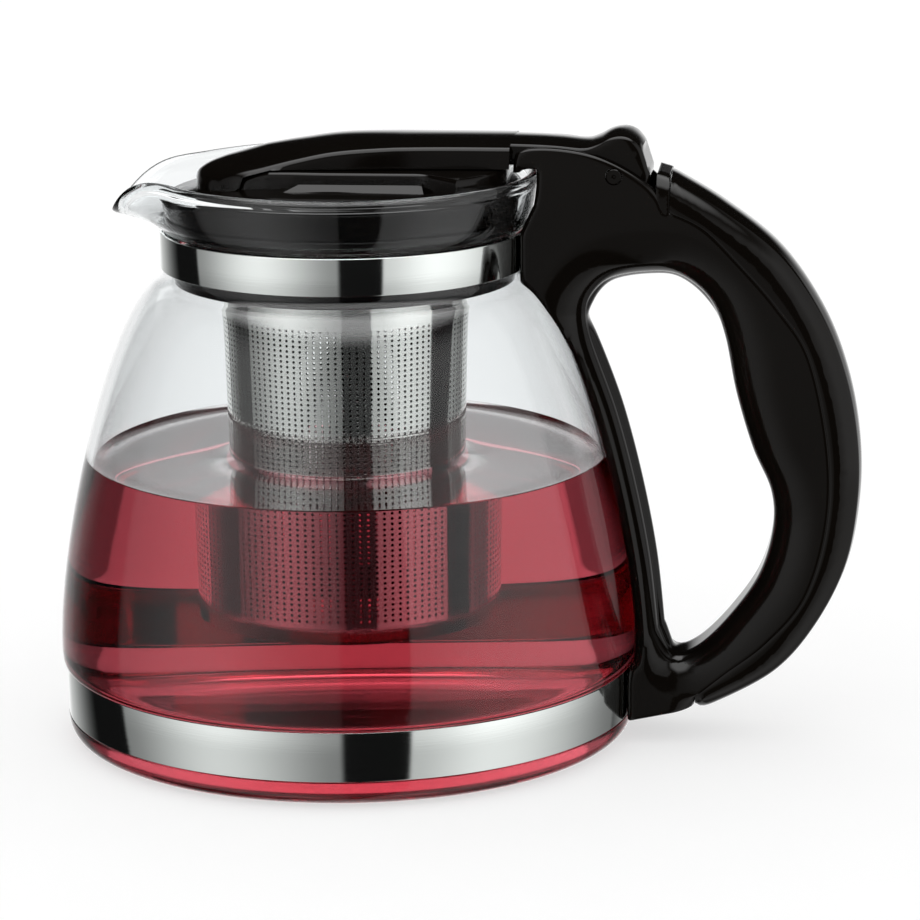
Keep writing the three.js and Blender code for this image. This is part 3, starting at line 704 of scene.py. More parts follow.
# %% Tea
TEA_LEVEL = 72.6
TEA_CLIMB = 1.3
TEA_CLIMB_REACH = 1.6
TEA_OVERLAP = 0.06
BASKET_TOP = (31.8, 122.1)
BASKET_FOOT = (29.4, 31.2)
BASKET_SHEET = 0.6


def basket_radius(height):
    share = (height - BASKET_FOOT[1]) / (BASKET_TOP[1] - BASKET_FOOT[1])
    return BASKET_FOOT[0] + (BASKET_TOP[0] - BASKET_FOOT[0]) * share


def make_tea():
    wall = glass_inside(GLASS_WALL - TEA_OVERLAP)
    wet = wall[wall[:, 1] < TEA_LEVEL + TEA_CLIMB - 0.1]
    edge = float(np.interp(TEA_LEVEL + TEA_CLIMB, wall[:, 1], wall[:, 0]))
    steel = basket_radius(TEA_LEVEL)
    away = np.array([0, 0.15, 0.4, 0.8, 1.4, 2.2, 3.4, 5.0, 7.0, 10.0])
    climb = TEA_LEVEL + TEA_CLIMB * np.exp(-away / TEA_CLIMB_REACH)
    outer = np.stack([edge - away, climb], 1)
    middle = np.stack([steel + away[::-1], climb[::-1]], 1)
    core = np.stack([steel - BASKET_SHEET - away, climb], 1)
    surface = np.vstack([outer, middle, core, [(0, TEA_LEVEL)]])
    outline = np.vstack([[(0, GLASS_FLOOR - TEA_OVERLAP)], wet, surface])
    points, faces = turned(outline, 160, closed=False)
    place(clean_mesh("tea_fill", points, faces), "jug", "glass", red_tea, (), 40)


make_tea()

# %% [markdown]
# ## Steel bands
# Each band is a polished strap, opened behind the handle, with two ears bent outwards there. The
# handle clamps the ears, so they hide inside it. A turned strip with eased edges catches the same
# bright edge line as rolled sheet. A bright film lies between band and glass, and it mirrors through
# the tea.

# %% Bands
BAND_SHEET = 0.6
EAR_SPLIT = 2.5
EAR_SHEET = 0.8
EAR_HEIGHT = 7.2
EAR_LENGTH = 8.0
EAR_EASE = 0.2
LINER_GAP = 0.2
LINER_FILM = 0.4
LINER_INSET = 0.6


def joined(*parts):
    points, faces = [], []
    for more, sides in parts:
        start = sum(len(p) for p in points)
        points.append(np.asarray(more, float))
        faces.extend(tuple(start + k for k in side) for side in sides)
    return np.vstack(points), faces


def eased_block(low, high, ease):
    """A box with rounded edges, as points and faces."""
    shape = bmesh.new()
    low, high = Vector(low), Vector(high)
    bmesh.ops.create_cube(shape, size=1)
    for corner in shape.verts:
        corner.co = [low[k] + (corner.co[k] + 0.5) * (high[k] - low[k]) for k in range(3)]
    bmesh.ops.bevel(shape, geom=shape.edges, offset=ease, segments=2, profile=0.5, affect="EDGES")
    shape.verts.index_update()
    points = [tuple(v.co) for v in shape.verts]
    faces = [tuple(v.index for v in f.verts) for f in shape.faces]
    shape.free()
    return points, faces


def make_band(name, radius, heights, node):
    low, high = heights
    inner = radius - BAND_SHEET
    corners = [(inner, low, 0.1), (radius, low, 0.25), (radius, high, 0.25), (inner, high, 0.1)]
    gap = math.asin(EAR_SPLIT / radius)
    middle = (low + high) / 2
    ears = []
    for left in (-EAR_SPLIT - EAR_SHEET, EAR_SPLIT):
        foot = (inner + 0.1, left, middle - EAR_HEIGHT / 2)
        head = (radius + EAR_LENGTH, left + EAR_SHEET, middle + EAR_HEIGHT / 2)
        ears.append(eased_block(foot, head, EAR_EASE))
    hoop = turned(eased(corners, 4), 240, gap, 2 * math.pi - 2 * gap)
    place(clean_mesh(name, *joined(hoop, *ears)), "jug", "band_steel", band_steel, [node], 50)


make_band("lower_steel_band", LOWER_BAND_RADIUS, LOWER_BAND, "lower_band")
make_band("upper_steel_band", UPPER_BAND_RADIUS, UPPER_BAND, "upper_band")


def make_liner(name, glass_radius, heights, node):
    inner = glass_radius + LINER_GAP
    outer = inner + LINER_FILM
    low, high = heights[0] + LINER_INSET, heights[1] - LINER_INSET
    corners = [(x, z, 0.1) for x, z in ((inner, low), (outer, low), (outer, high), (inner, high))]
    hoop = turned(eased(corners, 3), 192)
    place(clean_mesh(name, *hoop), "jug", "liner_film", liner_film, [node], 50)


make_liner("lower_bright_liner", GROOVE_RADIUS, LOWER_BAND, "lower_band_liner")
make_liner("upper_bright_liner", NECK_RADIUS, UPPER_BAND, "upper_band_liner")

# %% [markdown]
# ## Infuser collar, ring and base
# The infuser hangs in the neck by a black collar. These are plain turned pieces, so each one is an
# outline with its corners eased, turned about the axis.

# %% Collar, ring and base
COLLAR_RADIUS = 43.26
COLLAR_WALL = 2.0
COLLAR_BOTTOM = 118.4
COLLAR_FLOOR_TOP = 121.8
FLANGE_RADIUS = 44.86
FLANGE = (135.3, 136.7)
FLANGE_STEP = 1.6
PLAY = 0.3
RING_LIFT = 1.2
RING_HEIGHT = 2.0
BASE_DISH = (0.55, 0.62)
BASE_RISE = 0.5
BASE_RIM = 3.5


def place_turned(name, corners, body, slot, finish, nodes, segments=160):
    points, faces = turned(eased(corners), segments)
    return place(clean_mesh(name, points, faces), body, slot, finish, nodes, 40)


collar_inner = COLLAR_RADIUS - COLLAR_WALL
place_turned("infuser_neck_collar", [
    (FLANGE_RADIUS, FLANGE[0], 0.5),
    (FLANGE_RADIUS, FLANGE[1], 0.6),
    (collar_inner, FLANGE[1], 0.7),
    (collar_inner, COLLAR_FLOOR_TOP, 0.6),
    (BASKET_TOP[0] + PLAY, COLLAR_FLOOR_TOP, 0.2),
    (BASKET_TOP[0] + PLAY, COLLAR_BOTTOM, 0.3),
    (COLLAR_RADIUS, COLLAR_BOTTOM, 0.8),
    (COLLAR_RADIUS, FLANGE[0] - FLANGE_STEP, 0.4),
], "infuser", "black_plastic", black_plastic, ["infuser_collar"])

ring_low = COLLAR_FLOOR_TOP + RING_LIFT
ring_high = ring_low + RING_HEIGHT
place_turned("infuser_snap_ring", [
    (BASKET_TOP[0], ring_low, 0.3),
    (collar_inner - PLAY, ring_low, 0.3),
    (collar_inner - PLAY, ring_high, 0.5),
    (BASKET_TOP[0], ring_high, 0.7),
], "infuser", "black_plastic", black_plastic, ["infuser_retaining_ring"])


def make_base():
    outer = BASKET_FOOT[0] - BASKET_SHEET - PLAY
    inner = outer - BASKET_SHEET
    dish, step = (outer * share for share in BASE_DISH)
    low = BASKET_FOOT[1] + PLAY
    floor, rim, raised = low + BASKET_SHEET, low + BASE_RIM, low + BASE_RISE
    corners = [
        (0, raised, 0), (dish, raised, 2), (step, low, 2), (outer, low, 1.2),
        (outer, rim, 0.2), (inner, rim, 0.2), (inner, floor, 0.7),
        (step, floor, 2), (dish, raised + BASKET_SHEET, 2), (0, raised + BASKET_SHEET, 0),
    ]
    mesh = clean_mesh("infuser_dished_base", *turned(eased(corners), 128, closed=False))
    place(mesh, "infuser", "basket_steel", basket_steel, ["infuser_base"], 40)


make_base()

# %% [markdown]
# ## Perforated basket
# The wall of the basket is steel sheet with thousands of small round holes in straight rows. One tile
# with one hole is drawn once, repeated over a flat grid, given its thickness, and then wrapped round
# the cone by a rule. Geometry Nodes do all four steps, and the holes are real.

# %% Tree of the perforated sheet
HOLES_AROUND = 109
HOLE_ROWS = 56
HOLE_RADIUS = 0.39
SCREEN_HEIGHTS = (36.2, 111.8)
SCREEN_INPUTS = {
    "NodeSocketInt": ["Columns", "Rows"],
    "NodeSocketFloat": [
        "Hole Width", "Hole Height", "Start", "Sweep",
        "Low", "High", "Low Radius", "High Radius", "Sheet",
    ],
    "NodeSocketMaterial": ["Finish"],
}


def screen_tree():
    group = bpy.data.node_groups.new("perforated_sheet", "GeometryNodeTree")
    for kind, names in SCREEN_INPUTS.items():
        for name in names:
            group.interface.new_socket(name, in_out="INPUT", socket_type=kind)
    group.interface.new_socket("Sheet", in_out="OUTPUT", socket_type="NodeSocketGeometry")
    tree = Tree(group)
    given = group.nodes.new("NodeGroupInput")

    def size(name):
        return Wire(group, given.outputs[name])

    def join(*parts):
        node = group.nodes.new("GeometryNodeJoinGeometry")
        for part in parts:
            group.links.new(part.socket, node.inputs[0])
        return Wire(group, node.outputs[0])

    def weld(parts):
        return tree.make("GeometryNodeMergeByDistance", {"Geometry": parts, "Distance": 0.001})

    square = tree.make("GeometryNodeCurvePrimitiveQuadrilateral", {"Width": 1.0, "Height": 1.0})
    ring = tree.make("GeometryNodeCurvePrimitiveCircle", {"Resolution": 8, "Radius": 1.0})
    stretch = {"X": size("Hole Width"), "Y": size("Hole Height"), "Z": 1.0}
    oval = tree.make("ShaderNodeCombineXYZ", stretch)
    hole = tree.make("GeometryNodeTransform", {"Geometry": ring, "Scale": oval})
    tile = tree.make("GeometryNodeFillCurve", {"Curve": join(square, hole)})
    grid = tree.make("GeometryNodeMeshGrid", {
        "Size X": size("Columns") - 1, "Size Y": size("Rows") - 1,
        "Vertices X": size("Columns"), "Vertices Y": size("Rows"),
    })
    tiled = tree.make("GeometryNodeInstanceOnPoints", {"Points": grid, "Instance": tile})
    flat = weld(tree.make("GeometryNodeRealizeInstances", {"Geometry": tiled}))
    raised = tree.make("GeometryNodeExtrudeMesh", {
        "Mesh": flat, "Offset": (0.0, 0.0, 1.0), "Offset Scale": 1.0, "Individual": False,
    })
    closed = weld(join(raised, tree.make("GeometryNodeFlipFaces", {"Mesh": flat})))
    where = {"Vector": tree.make("GeometryNodeInputPosition")}
    column, row, lift = (tree.make("ShaderNodeSeparateXYZ", where, out=axis) for axis in "XYZ")
    angle = size("Start") + size("Sweep") * (column / size("Columns") + 0.5)
    share = row / size("Rows") + 0.5
    height = size("Low") + (size("High") - size("Low")) * share
    radius = size("Low Radius") + (size("High Radius") - size("Low Radius")) * share
    radius = radius - size("Sheet") * (1 - lift)
    wrapped = tree.make("ShaderNodeCombineXYZ", {
        "X": radius * angle.maths("COSINE", angle),
        "Y": radius * angle.maths("SINE", angle),
        "Z": height,
    })
    bent = tree.make("GeometryNodeSetPosition", {"Geometry": closed, "Position": wrapped})
    real = tree.make("GeometryNodeRealizeInstances", {"Geometry": bent})
    done = tree.make("GeometryNodeSetMaterial", {"Geometry": real, "Material": size("Finish")})
    tree.make("NodeGroupOutput", {"Sheet": done})
    return group


perforated_sheet = screen_tree()
print("perforated sheet tree with", len(perforated_sheet.nodes), "nodes")

# %% Two halves of the screen
def baked(tree, values, name):
    """The mesh that a tree makes from named sizes."""
    carrier = bpy.data.objects.new("carrier", bpy.data.meshes.new("carrier"))
    scene.collection.objects.link(carrier)
    modifier = carrier.modifiers.new("sheet", "NODES")
    modifier.node_group = tree
    for item in tree.interface.items_tree:
        if item.in_out == "INPUT":
            modifier[item.identifier] = values[item.name]
    graph = bpy.context.evaluated_depsgraph_get()
    mesh = bpy.data.meshes.new_from_object(carrier.evaluated_get(graph))
    carrier.modifiers.clear()
    bpy.data.objects.remove(carrier)
    mesh.name = name
    return mesh


def make_screen(name, first, count):
    low, high = SCREEN_HEIGHTS
    step = 2 * math.pi / HOLES_AROUND
    across = step * basket_radius((low + high) / 2)
    up = (high - low) / HOLE_ROWS
    mesh = baked(perforated_sheet, {
        "Columns": count, "Rows": HOLE_ROWS,
        "Hole Width": HOLE_RADIUS / across, "Hole Height": HOLE_RADIUS / up,
        "Start": first * step, "Sweep": count * step, "Low": low * MM, "High": high * MM,
        "Low Radius": basket_radius(low) * MM, "High Radius": basket_radius(high) * MM,
        "Sheet": BASKET_SHEET * MM, "Finish": basket_steel,
    }, name)
    return place(mesh, "infuser", "basket_steel", basket_steel, ["infuser_wall"], 40)


half = HOLES_AROUND // 2
make_screen("basket_screen_rear", 0, half)
make_screen("basket_screen_front", half, HOLES_AROUND - half)

# %% Plain edges of the basket
BASKET_FLANGE = 3.2


def make_basket_edges():
    low, high = SCREEN_HEIGHTS
    seat, top = BASKET_TOP[1], BASKET_TOP[1] + BASKET_SHEET
    flange = BASKET_TOP[0] + BASKET_FLANGE

    def at(height, depth=0.0):
        return (basket_radius(height) - depth, height)

    upper = eased([
        (*at(high), 0), (*at(seat), 0.4), (flange, seat, 0.2), (flange, top, 0.2),
        (BASKET_TOP[0] - BASKET_SHEET, top, 0.8), (*at(high, BASKET_SHEET), 0),
    ])
    lower = eased([
        (*at(BASKET_FOOT[1]), 0.25), (*at(low), 0), (*at(low, BASKET_SHEET), 0),
        (*at(BASKET_FOOT[1], BASKET_SHEET), 0.1),
    ])
    mesh = clean_mesh("basket_plain_edges", *joined(turned(upper, 160), turned(lower, 160)))
    place(mesh, "infuser", "basket_steel", basket_steel, ["infuser_wall"], 40)


make_basket_edges()

# %% [markdown]
# ## Handle
# The handle is one glossy moulding with a separate cover on the outside of the grip. In side view
# both are flat outlines, but their edges are well rounded, so the black shows long soft streaks.
# Each face is filled with small triangles, and the half width at every point falls off with the
# distance to the nearest edge. One rule for both pieces keeps them flush along their seam, and the
# cover laps the seam by a hair, so that no light shines through it.

# %% Handle outlines
HANDLE_HALF = 13.0
HANDLE_GAP = 0.4
HANDLE_FOOT = 1.3
STRIP = 5.4
GRIP_REACH = 56.7
BAND_MIDDLE = (LOWER_BAND[0] + LOWER_BAND[1]) / 2
BAND_SPAN = (UPPER_BAND[0] + UPPER_BAND[1]) / 2 - BAND_MIDDLE
PIN = np.array([69.96, 148.1])
SLOT_RADIUS = 10.6
SLOT_HALF = 10.9
CHEEK_RADIUS = 25.4
CAP_BACK = PIN[0] + SLOT_RADIUS + 3.4
SEAM_DROP = 9.0


def on_handle(*shares):
    """Outline points from shares of the reach beyond the belly and of the way between the bands."""
    shares = np.array(shares, float)
    return np.stack([BELLY[0] + shares[:, 0] * GRIP_REACH, BAND_MIDDLE + shares[:, 1] * BAND_SPAN], 1)


seam_top = np.array([CAP_BACK, PIN[1] - SEAM_DROP])
grip_bottom = on_handle((0.272, -0.036))[0]
seam = spline(np.vstack([on_handle(
    (0.275, -0.006), (0.414, 0.05), (0.591, 0.12), (0.767, 0.225), (0.861, 0.385), (0.868, 0.56),
    (0.781, 0.77), (0.637, 0.883), (0.474, 0.976), (0.309, 1.058)), [seam_top]]), 150)
outer_edge = spline(np.vstack([[(CAP_BACK + 0.3, PIN[1] - 0.9)], on_handle(
    (0.388, 1.099), (0.644, 0.998), (0.834, 0.862), (0.945, 0.72), (0.998, 0.576), (1, 0.44),
    (0.947, 0.292), (0.813, 0.154), (0.63, 0.046), (0.353, -0.032)), [grip_bottom]]), 170)
strip_heights = BAND_MIDDLE + np.array([0.14, 0.3, 0.47, 0.64, 0.8]) * BAND_SPAN
strip_side = np.stack([
    np.interp(strip_heights, outside[:, 1], outside[:, 0]) + HANDLE_GAP + STRIP, strip_heights], 1)
finger_gap = spline(np.vstack([strip_side, on_handle(
    (-0.228, 0.855), (-0.201, 0.9), (-0.113, 0.938), (0.053, 0.953), (0.194, 0.946), (0.325, 0.894),
    (0.395, 0.812), (0.448, 0.682), (0.524, 0.556), (0.607, 0.46), (0.616, 0.372), (0.554, 0.264),
    (0.416, 0.164), (0.273, 0.094), (0.166, 0.08)), strip_side[:1]]), 190)[:-1]
print("finger gap", np.ptp(finger_gap, axis=0).round(1), "mm")

# %% Where the handle meets the glass
HORN_GAP = 2.2
HORN_UNDERSIDE = 149.7
HORN_TOP = 5.4
HORN_LIP = 148.7
HORN_TIP = [(46.1, 148.8), (46.9, 149.45), (48.2, 149.8)]
HORN_START = 140.0
BELLY_EDGE = 21.6


def glass_side():
    """Radius and height of the surface that the handle wraps round, from the foot up to the horn."""
    low = LOWER_BAND_RADIUS + HANDLE_GAP
    high = UPPER_BAND_RADIUS + HANDLE_GAP
    near = moved_in(outside, -HANDLE_GAP)
    body = near[(near[:, 1] > BELLY[1] - 1) & (near[:, 1] < UPPER_BAND[0]) & (near[:, 0] > high)]
    wide = moved_in(outside, -HORN_GAP)
    flare = wide[(wide[:, 1] > HORN_START) & (wide[:, 1] < RIM[1] - 1)]
    rim = RIM[0] + HORN_GAP
    return np.vstack([
        [(low, LOWER_BAND[0] - HANDLE_FOOT), (low, LOWER_BAND[1] + HANDLE_GAP)],
        [(BELLY[0] + HANDLE_GAP, BELLY_EDGE)], body,
        [(high, UPPER_BAND[0] - HANDLE_GAP), (high, UPPER_BAND[1] + HANDLE_GAP)], flare,
        [(rim, RIM[1]), (rim, HORN_UNDERSIDE)],
    ])


def even(line, spacing, closed=False):
    """The line with points at an even spacing, corners kept near enough."""
    if closed:
        line = np.vstack([line, line[:1]])
    steps = np.linalg.norm(np.diff(line, axis=0), axis=1)
    along = np.concatenate([[0], np.cumsum(steps)])
    count = max(int(round(along[-1] / spacing)), 1)
    marks = np.linspace(0, along[-1], count + 1)
    done = np.stack([np.interp(marks, along, line[:, k]) for k in range(line.shape[1])], 1)
    return done[:-1] if closed else done


wrap = even(glass_side(), 1.5)
print("handle follows the glass over", round(wrap[-1, 1] - wrap[0, 1], 1), "mm")

# %% Half width of the handle
STRIP_HEIGHTS = (22, 108)
STRIP_WIDEST = 9.0
STRIP_ROUND = 4.2
GLASS_ROUND = 1.2
GRIP_ROUND = 6.5
GAP_ROUND = 8.5
GAP_STRIP_REACH = 4.5
GAP_REACH = 12.0
GAP_BULGE = 1.4
GAP_ROOF = 112
GAP_SMOOTHING = 14
CREST_ROUND = 1.1
SEAM_ROUND = 0.45
ON_EDGE = 0.2
NEAR_EDGE = 0.3


def nearest(points, line, values, closed=False):
    """Distance to a line, and the value carried by the line at its nearest point."""
    if closed:
        line, values = np.vstack([line, line[:1]]), np.append(values, values[0])
    best = np.full(len(points), np.inf)
    carried = np.zeros(len(points))
    for start, end, first, last in zip(line, line[1:], values, values[1:]):
        way = end - start
        share = np.clip((points - start) @ way / max(way @ way, 1e-12), 0, 1)
        distance = np.linalg.norm(points - start - share[:, None] * way, axis=1)
        closer = distance < best
        best[closer] = distance[closer]
        carried[closer] = (first + (last - first) * share)[closer]
    return best, carried


def distance_to(points, line, closed=False):
    return nearest(points, line, np.zeros(len(line)), closed)[0]


def on_line(points, line, margin=ON_EDGE):
    return distance_to(points, line) < margin


def falloff(distance, reach, depth=None):
    """How far a rounded edge has dropped at a distance from the edge."""
    share = np.clip(1 - distance / reach, 0, 1)
    return (reach if depth is None else depth) * (1 - np.sqrt(1 - share**2))


def smooth_values(values):
    for _ in range(GAP_SMOOTHING):
        values = (np.roll(values, 1) + values + np.roll(values, -1)) / 3
    return values


gap_x, gap_z = finger_gap.T
beside_strip = gap_x < np.interp(gap_z, outside[:, 1], outside[:, 0]) + STRIP_WIDEST
beside_strip &= gap_z < STRIP_HEIGHTS[1]
gap_reach = smooth_values(np.where(beside_strip, GAP_STRIP_REACH, GAP_REACH))
gap_bulge = smooth_values(np.where(beside_strip | (gap_z > GAP_ROOF), GAP_BULGE, 0.0))


def side_of_glass(half):
    """The glass side of the handle in side view, at a distance from the middle plane."""
    return np.stack([np.sqrt(np.maximum(wrap[:, 0] ** 2 - half**2, 1)), wrap[:, 1]], 1)


along_strip = (wrap[:, 1] > STRIP_HEIGHTS[0]) & (wrap[:, 1] < STRIP_HEIGHTS[1])
glass_round = np.where(along_strip, STRIP_ROUND, GLASS_ROUND)
glass_round = np.convolve(np.pad(glass_round, 4, mode="edge"), np.ones(9) / 9, "valid")
glass_edge = side_of_glass(HANDLE_HALF - glass_round)


def handle_half(points):
    """Half width of the handle at points of the side view."""
    gap_drop = falloff(*nearest(points, finger_gap, gap_reach, True), GAP_ROUND)
    grip_drop = falloff(distance_to(points, outer_edge), GRIP_ROUND)
    glass_drop = falloff(*nearest(points, glass_edge, glass_round))
    return HANDLE_HALF - np.maximum(np.maximum(gap_drop, grip_drop), glass_drop)


print("grip rounding", GRIP_ROUND, "mm, strip rounding", STRIP_ROUND, "mm")

# %% A slab with a rounded face
EDGE_RINGS = (0.12, 0.45, 1.0, 1.7, 2.6)


def signed_area(loop):
    after = np.roll(loop, -1, axis=0)
    return float((loop[:, 0] * after[:, 1] - after[:, 0] * loop[:, 1]).sum() / 2)


def edge_normals(loop):
    """Unit normals that point out of a closed loop."""
    way = np.roll(loop, -1, axis=0) - np.roll(loop, 1, axis=0)
    normal = np.stack([way[:, 1], -way[:, 0]], 1) / np.linalg.norm(way, axis=1)[:, None]
    return normal if signed_area(loop) > 0 else -normal


def inside_of(points, loop):
    """True for the points inside a closed loop."""
    hit = np.zeros(len(points), bool)
    for a, b in zip(loop, np.roll(loop, -1, axis=0)):
        crosses = (a[1] > points[:, 1]) != (b[1] > points[:, 1])
        reach = a[0] + (points[:, 1] - a[1]) * (b[0] - a[0]) / (b[1] - a[1] if b[1] != a[1] else 1)
        hit ^= crosses & (points[:, 0] < reach)
    return hit


def within(points, loops):
    """True for the points inside an outline and outside its holes."""
    kept = inside_of(points, loops[0])
    for hole in loops[1:]:
        kept &= ~inside_of(points, hole)
    return kept


def filling(loops, spacing, rings):
    """Points that fill an outline round its holes: an even grid, and rings close to the edges."""
    low, high = loops[0].min(0), loops[0].max(0)
    columns = np.arange(low[0], high[0], spacing)
    rows = np.arange(low[1], high[1], spacing * 0.866)
    grid = np.array([(x + (k % 2) * spacing / 2, z) for k, z in enumerate(rows) for x in columns])
    sets = [(grid, max(rings) + spacing * 0.35)]
    for depth in rings:
        for loop in loops:
            for side in (-1, 1):
                sets.append((loop + edge_normals(loop) * side * depth, depth * 0.97))
    kept = []
    for points, least in sets:
        points = points[within(points, loops)]
        for loop in loops:
            points = points[distance_to(points, loop, True) > least]
        kept.append(points)
    return np.vstack(kept)


def flat_triangles(loops, spacing, rings):
    """Triangles that fill an outline round its holes, and the places of each loop's own points."""
    starts = np.cumsum([0] + [len(loop) for loop in loops])
    edges = []
    for start, loop in zip(starts, loops):
        edges += [(int(start + k), int(start + (k + 1) % len(loop))) for k in range(len(loop))]
    flat = [Vector(p) for p in np.vstack([*loops, filling(loops, spacing, rings)])]
    flat, _, triangles, origin, _, _ = delaunay_2d_cdt(flat, edges, [], 0, 1e-5)
    flat = np.array([tuple(p) for p in flat])
    triangles = np.array([t for t in triangles if len(t) == 3])
    triangles = triangles[within(flat[triangles].mean(1), loops)]
    found = {first: k for k, group in enumerate(origin) for first in group}
    rims = [np.array([found[int(s + k)] for k in range(len(loop))]) for s, loop in zip(starts, loops)]
    return flat, triangles, rims


def rounded_slab(loops, half_of, spacing=1.6, rings=EDGE_RINGS, rows=8, radius_of=None, swell=None):
    """Points and faces of a slab across Y whose half width changes over its side view."""
    flat, triangles, rims = flat_triangles(loops, spacing, rings)
    half = half_of(flat)
    count = len(flat)
    points = [np.stack([flat[:, 0], side * half, flat[:, 1]], 1) for side in (-1, 1)]
    faces = [tuple(t) for t in triangles]
    faces += [tuple(int(v) + count for v in t[::-1]) for t in triangles]
    total = 2 * count
    for number, rim in enumerate(rims):
        outward = edge_normals(loops[number]) * (1 if number == 0 else -1)
        bands = [rim]
        for row in range(1, rows):
            share = 2 * row / rows - 1
            y = half[rim] * share
            plane = flat[rim].copy()
            if swell is not None:
                plane += outward * (swell(plane) * (1 - share**2))[:, None]
            if radius_of is not None:
                radius = radius_of(plane)
                bent = np.sqrt(np.maximum(radius**2 - y**2, 0))
                plane[:, 0] = np.where(radius > 0, bent, plane[:, 0])
            points.append(np.stack([plane[:, 0], y, plane[:, 1]], 1))
            bands.append(np.arange(total, total + len(rim)))
            total += len(rim)
        bands.append(rim + count)
        for first, second in zip(bands, bands[1:]):
            sides = zip(first, np.roll(first, -1), np.roll(second, -1), second)
            faces.extend(tuple(int(v) for v in side) for side in sides)
    return np.vstack(points), faces


print("rounded slabs are ready")

# %% Cutting and merging meshes
BORE_HALF = 20.0


def cut(mesh, *cutters):
    """The mesh with other closed meshes taken out of it."""
    body = bpy.data.objects.new("blank", mesh)
    scene.collection.objects.link(body)
    tools = []
    for cutter in cutters:
        tool = bpy.data.objects.new("tool", cutter)
        scene.collection.objects.link(tool)
        tools.append(tool)
        modifier = body.modifiers.new("cut", "BOOLEAN")
        modifier.operation = "DIFFERENCE"
        modifier.solver = "EXACT"
        modifier.object = tool
    graph = bpy.context.evaluated_depsgraph_get()
    done = bpy.data.meshes.new_from_object(body.evaluated_get(graph))
    name = mesh.name
    for thing in [body, *tools]:
        bpy.data.objects.remove(thing)
    bpy.data.meshes.remove(mesh)
    done.name = name
    return done


def merged(name, *meshes):
    """One mesh from several."""
    shape = bmesh.new()
    for mesh in meshes:
        shape.from_mesh(mesh)
        bpy.data.meshes.remove(mesh)
    done = bpy.data.meshes.new(name)
    shape.to_mesh(done)
    shape.free()
    return done


def turned_across(outline):
    """An outline of radius and place across, turned about the axis of the hinge pin."""
    bar, faces = turned(outline, 48, closed=False)
    return np.stack([PIN[0] + bar[:, 0], bar[:, 2], PIN[1] + bar[:, 1]], 1), faces


def pin_bore(radius):
    corners = [(0, -BORE_HALF), (radius, -BORE_HALF), (radius, BORE_HALF), (0, BORE_HALF)]
    return turned_across(corners)


def prism_across(outline, half):
    """A straight bar along Y with an outline in the side view."""
    x, z = np.asarray(outline, float).T
    count = len(x)
    points = np.vstack([np.stack([x, np.full(count, y), z], 1) for y in (-half, half)])
    ends = [tuple(range(count)), tuple(range(2 * count - 1, count - 1, -1))]
    return points, skin(2, count) + ends


print("meshes can be cut and merged")

# %% Handle frame
CHEEK_CURVE = np.array([
    (0.43, -0.173), (0.248, -0.016), (-0.012, 0.134),
    (-0.283, 0.228), (-0.583, 0.272), (-0.846, 0.268)])
FRAME_RINGS = (*EDGE_RINGS, 3.5, 4.5)
SLOT_FLOOR = 149.4
SLOT_STEP = (48, 148)
SLOT_FRONT = 25
SLOT_ABOVE = 170
PIN_HOLE = 2.15
CAP_DROP = 10.0
CAP_EASE = 0.3
CAP_INSET = 0.1


def horn(z):
    """Front edge of the horn at a height above the pin."""
    return (PIN[0] - math.sqrt(CHEEK_RADIUS**2 - z**2), PIN[1] + z)


def frame_loop():
    cheek = PIN + CHEEK_RADIUS * CHEEK_CURVE
    crest = spline(np.vstack([[seam_top - (1, 0)], cheek, [horn(HORN_TOP)]]), 60)
    front = [horn(z) for z in np.linspace(HORN_TOP - 0.4, HORN_LIP - PIN[1], 6)] + HORN_TIP
    foot = [(glass_edge[0, 0] + 0.5, LOWER_BAND[0] - HANDLE_FOOT), tuple(grip_bottom - (0.3, 0))]
    loop = np.vstack([foot, seam, crest, front, glass_edge[::-1]])
    return even(loop, 0.9, closed=True)


def edge_radius(points):
    """Radius of the glass side at points on it, and 0 elsewhere."""
    distance, radius = nearest(points, glass_edge, wrap[:, 0])
    return np.where(distance < ON_EDGE, radius, 0)


def frame_half(loop):
    crisp = loop[~on_line(loop, glass_edge)]
    rounds = np.where(on_line(crisp, seam, NEAR_EDGE), SEAM_ROUND, CREST_ROUND)

    def half_of(points):
        return handle_half(points) - falloff(*nearest(points, crisp, rounds))

    return half_of


def hinge_cap():
    """The rounded end that stands up behind the hub."""
    back, front = (CAP_BACK, PIN[1] - 0.3), (PIN[0] + SLOT_RADIUS, PIN[1] + 0.7)
    foot = PIN[1] - CAP_DROP
    loop = eased([(front[0], foot, 0), (back[0], foot, 0), (*back, 0.4), (*front, 0.7)])
    loop = even(loop, 0.4, closed=True)

    def half_of(points):
        crown_drop = falloff(distance_to(points, np.array([back, front])), GRIP_ROUND)
        edge_drop = falloff(distance_to(points, loop, True), CAP_EASE)
        return HANDLE_HALF - CAP_INSET - crown_drop - edge_drop

    return rounded_slab([loop], half_of, 0.7, (0.1, 0.3), 16)


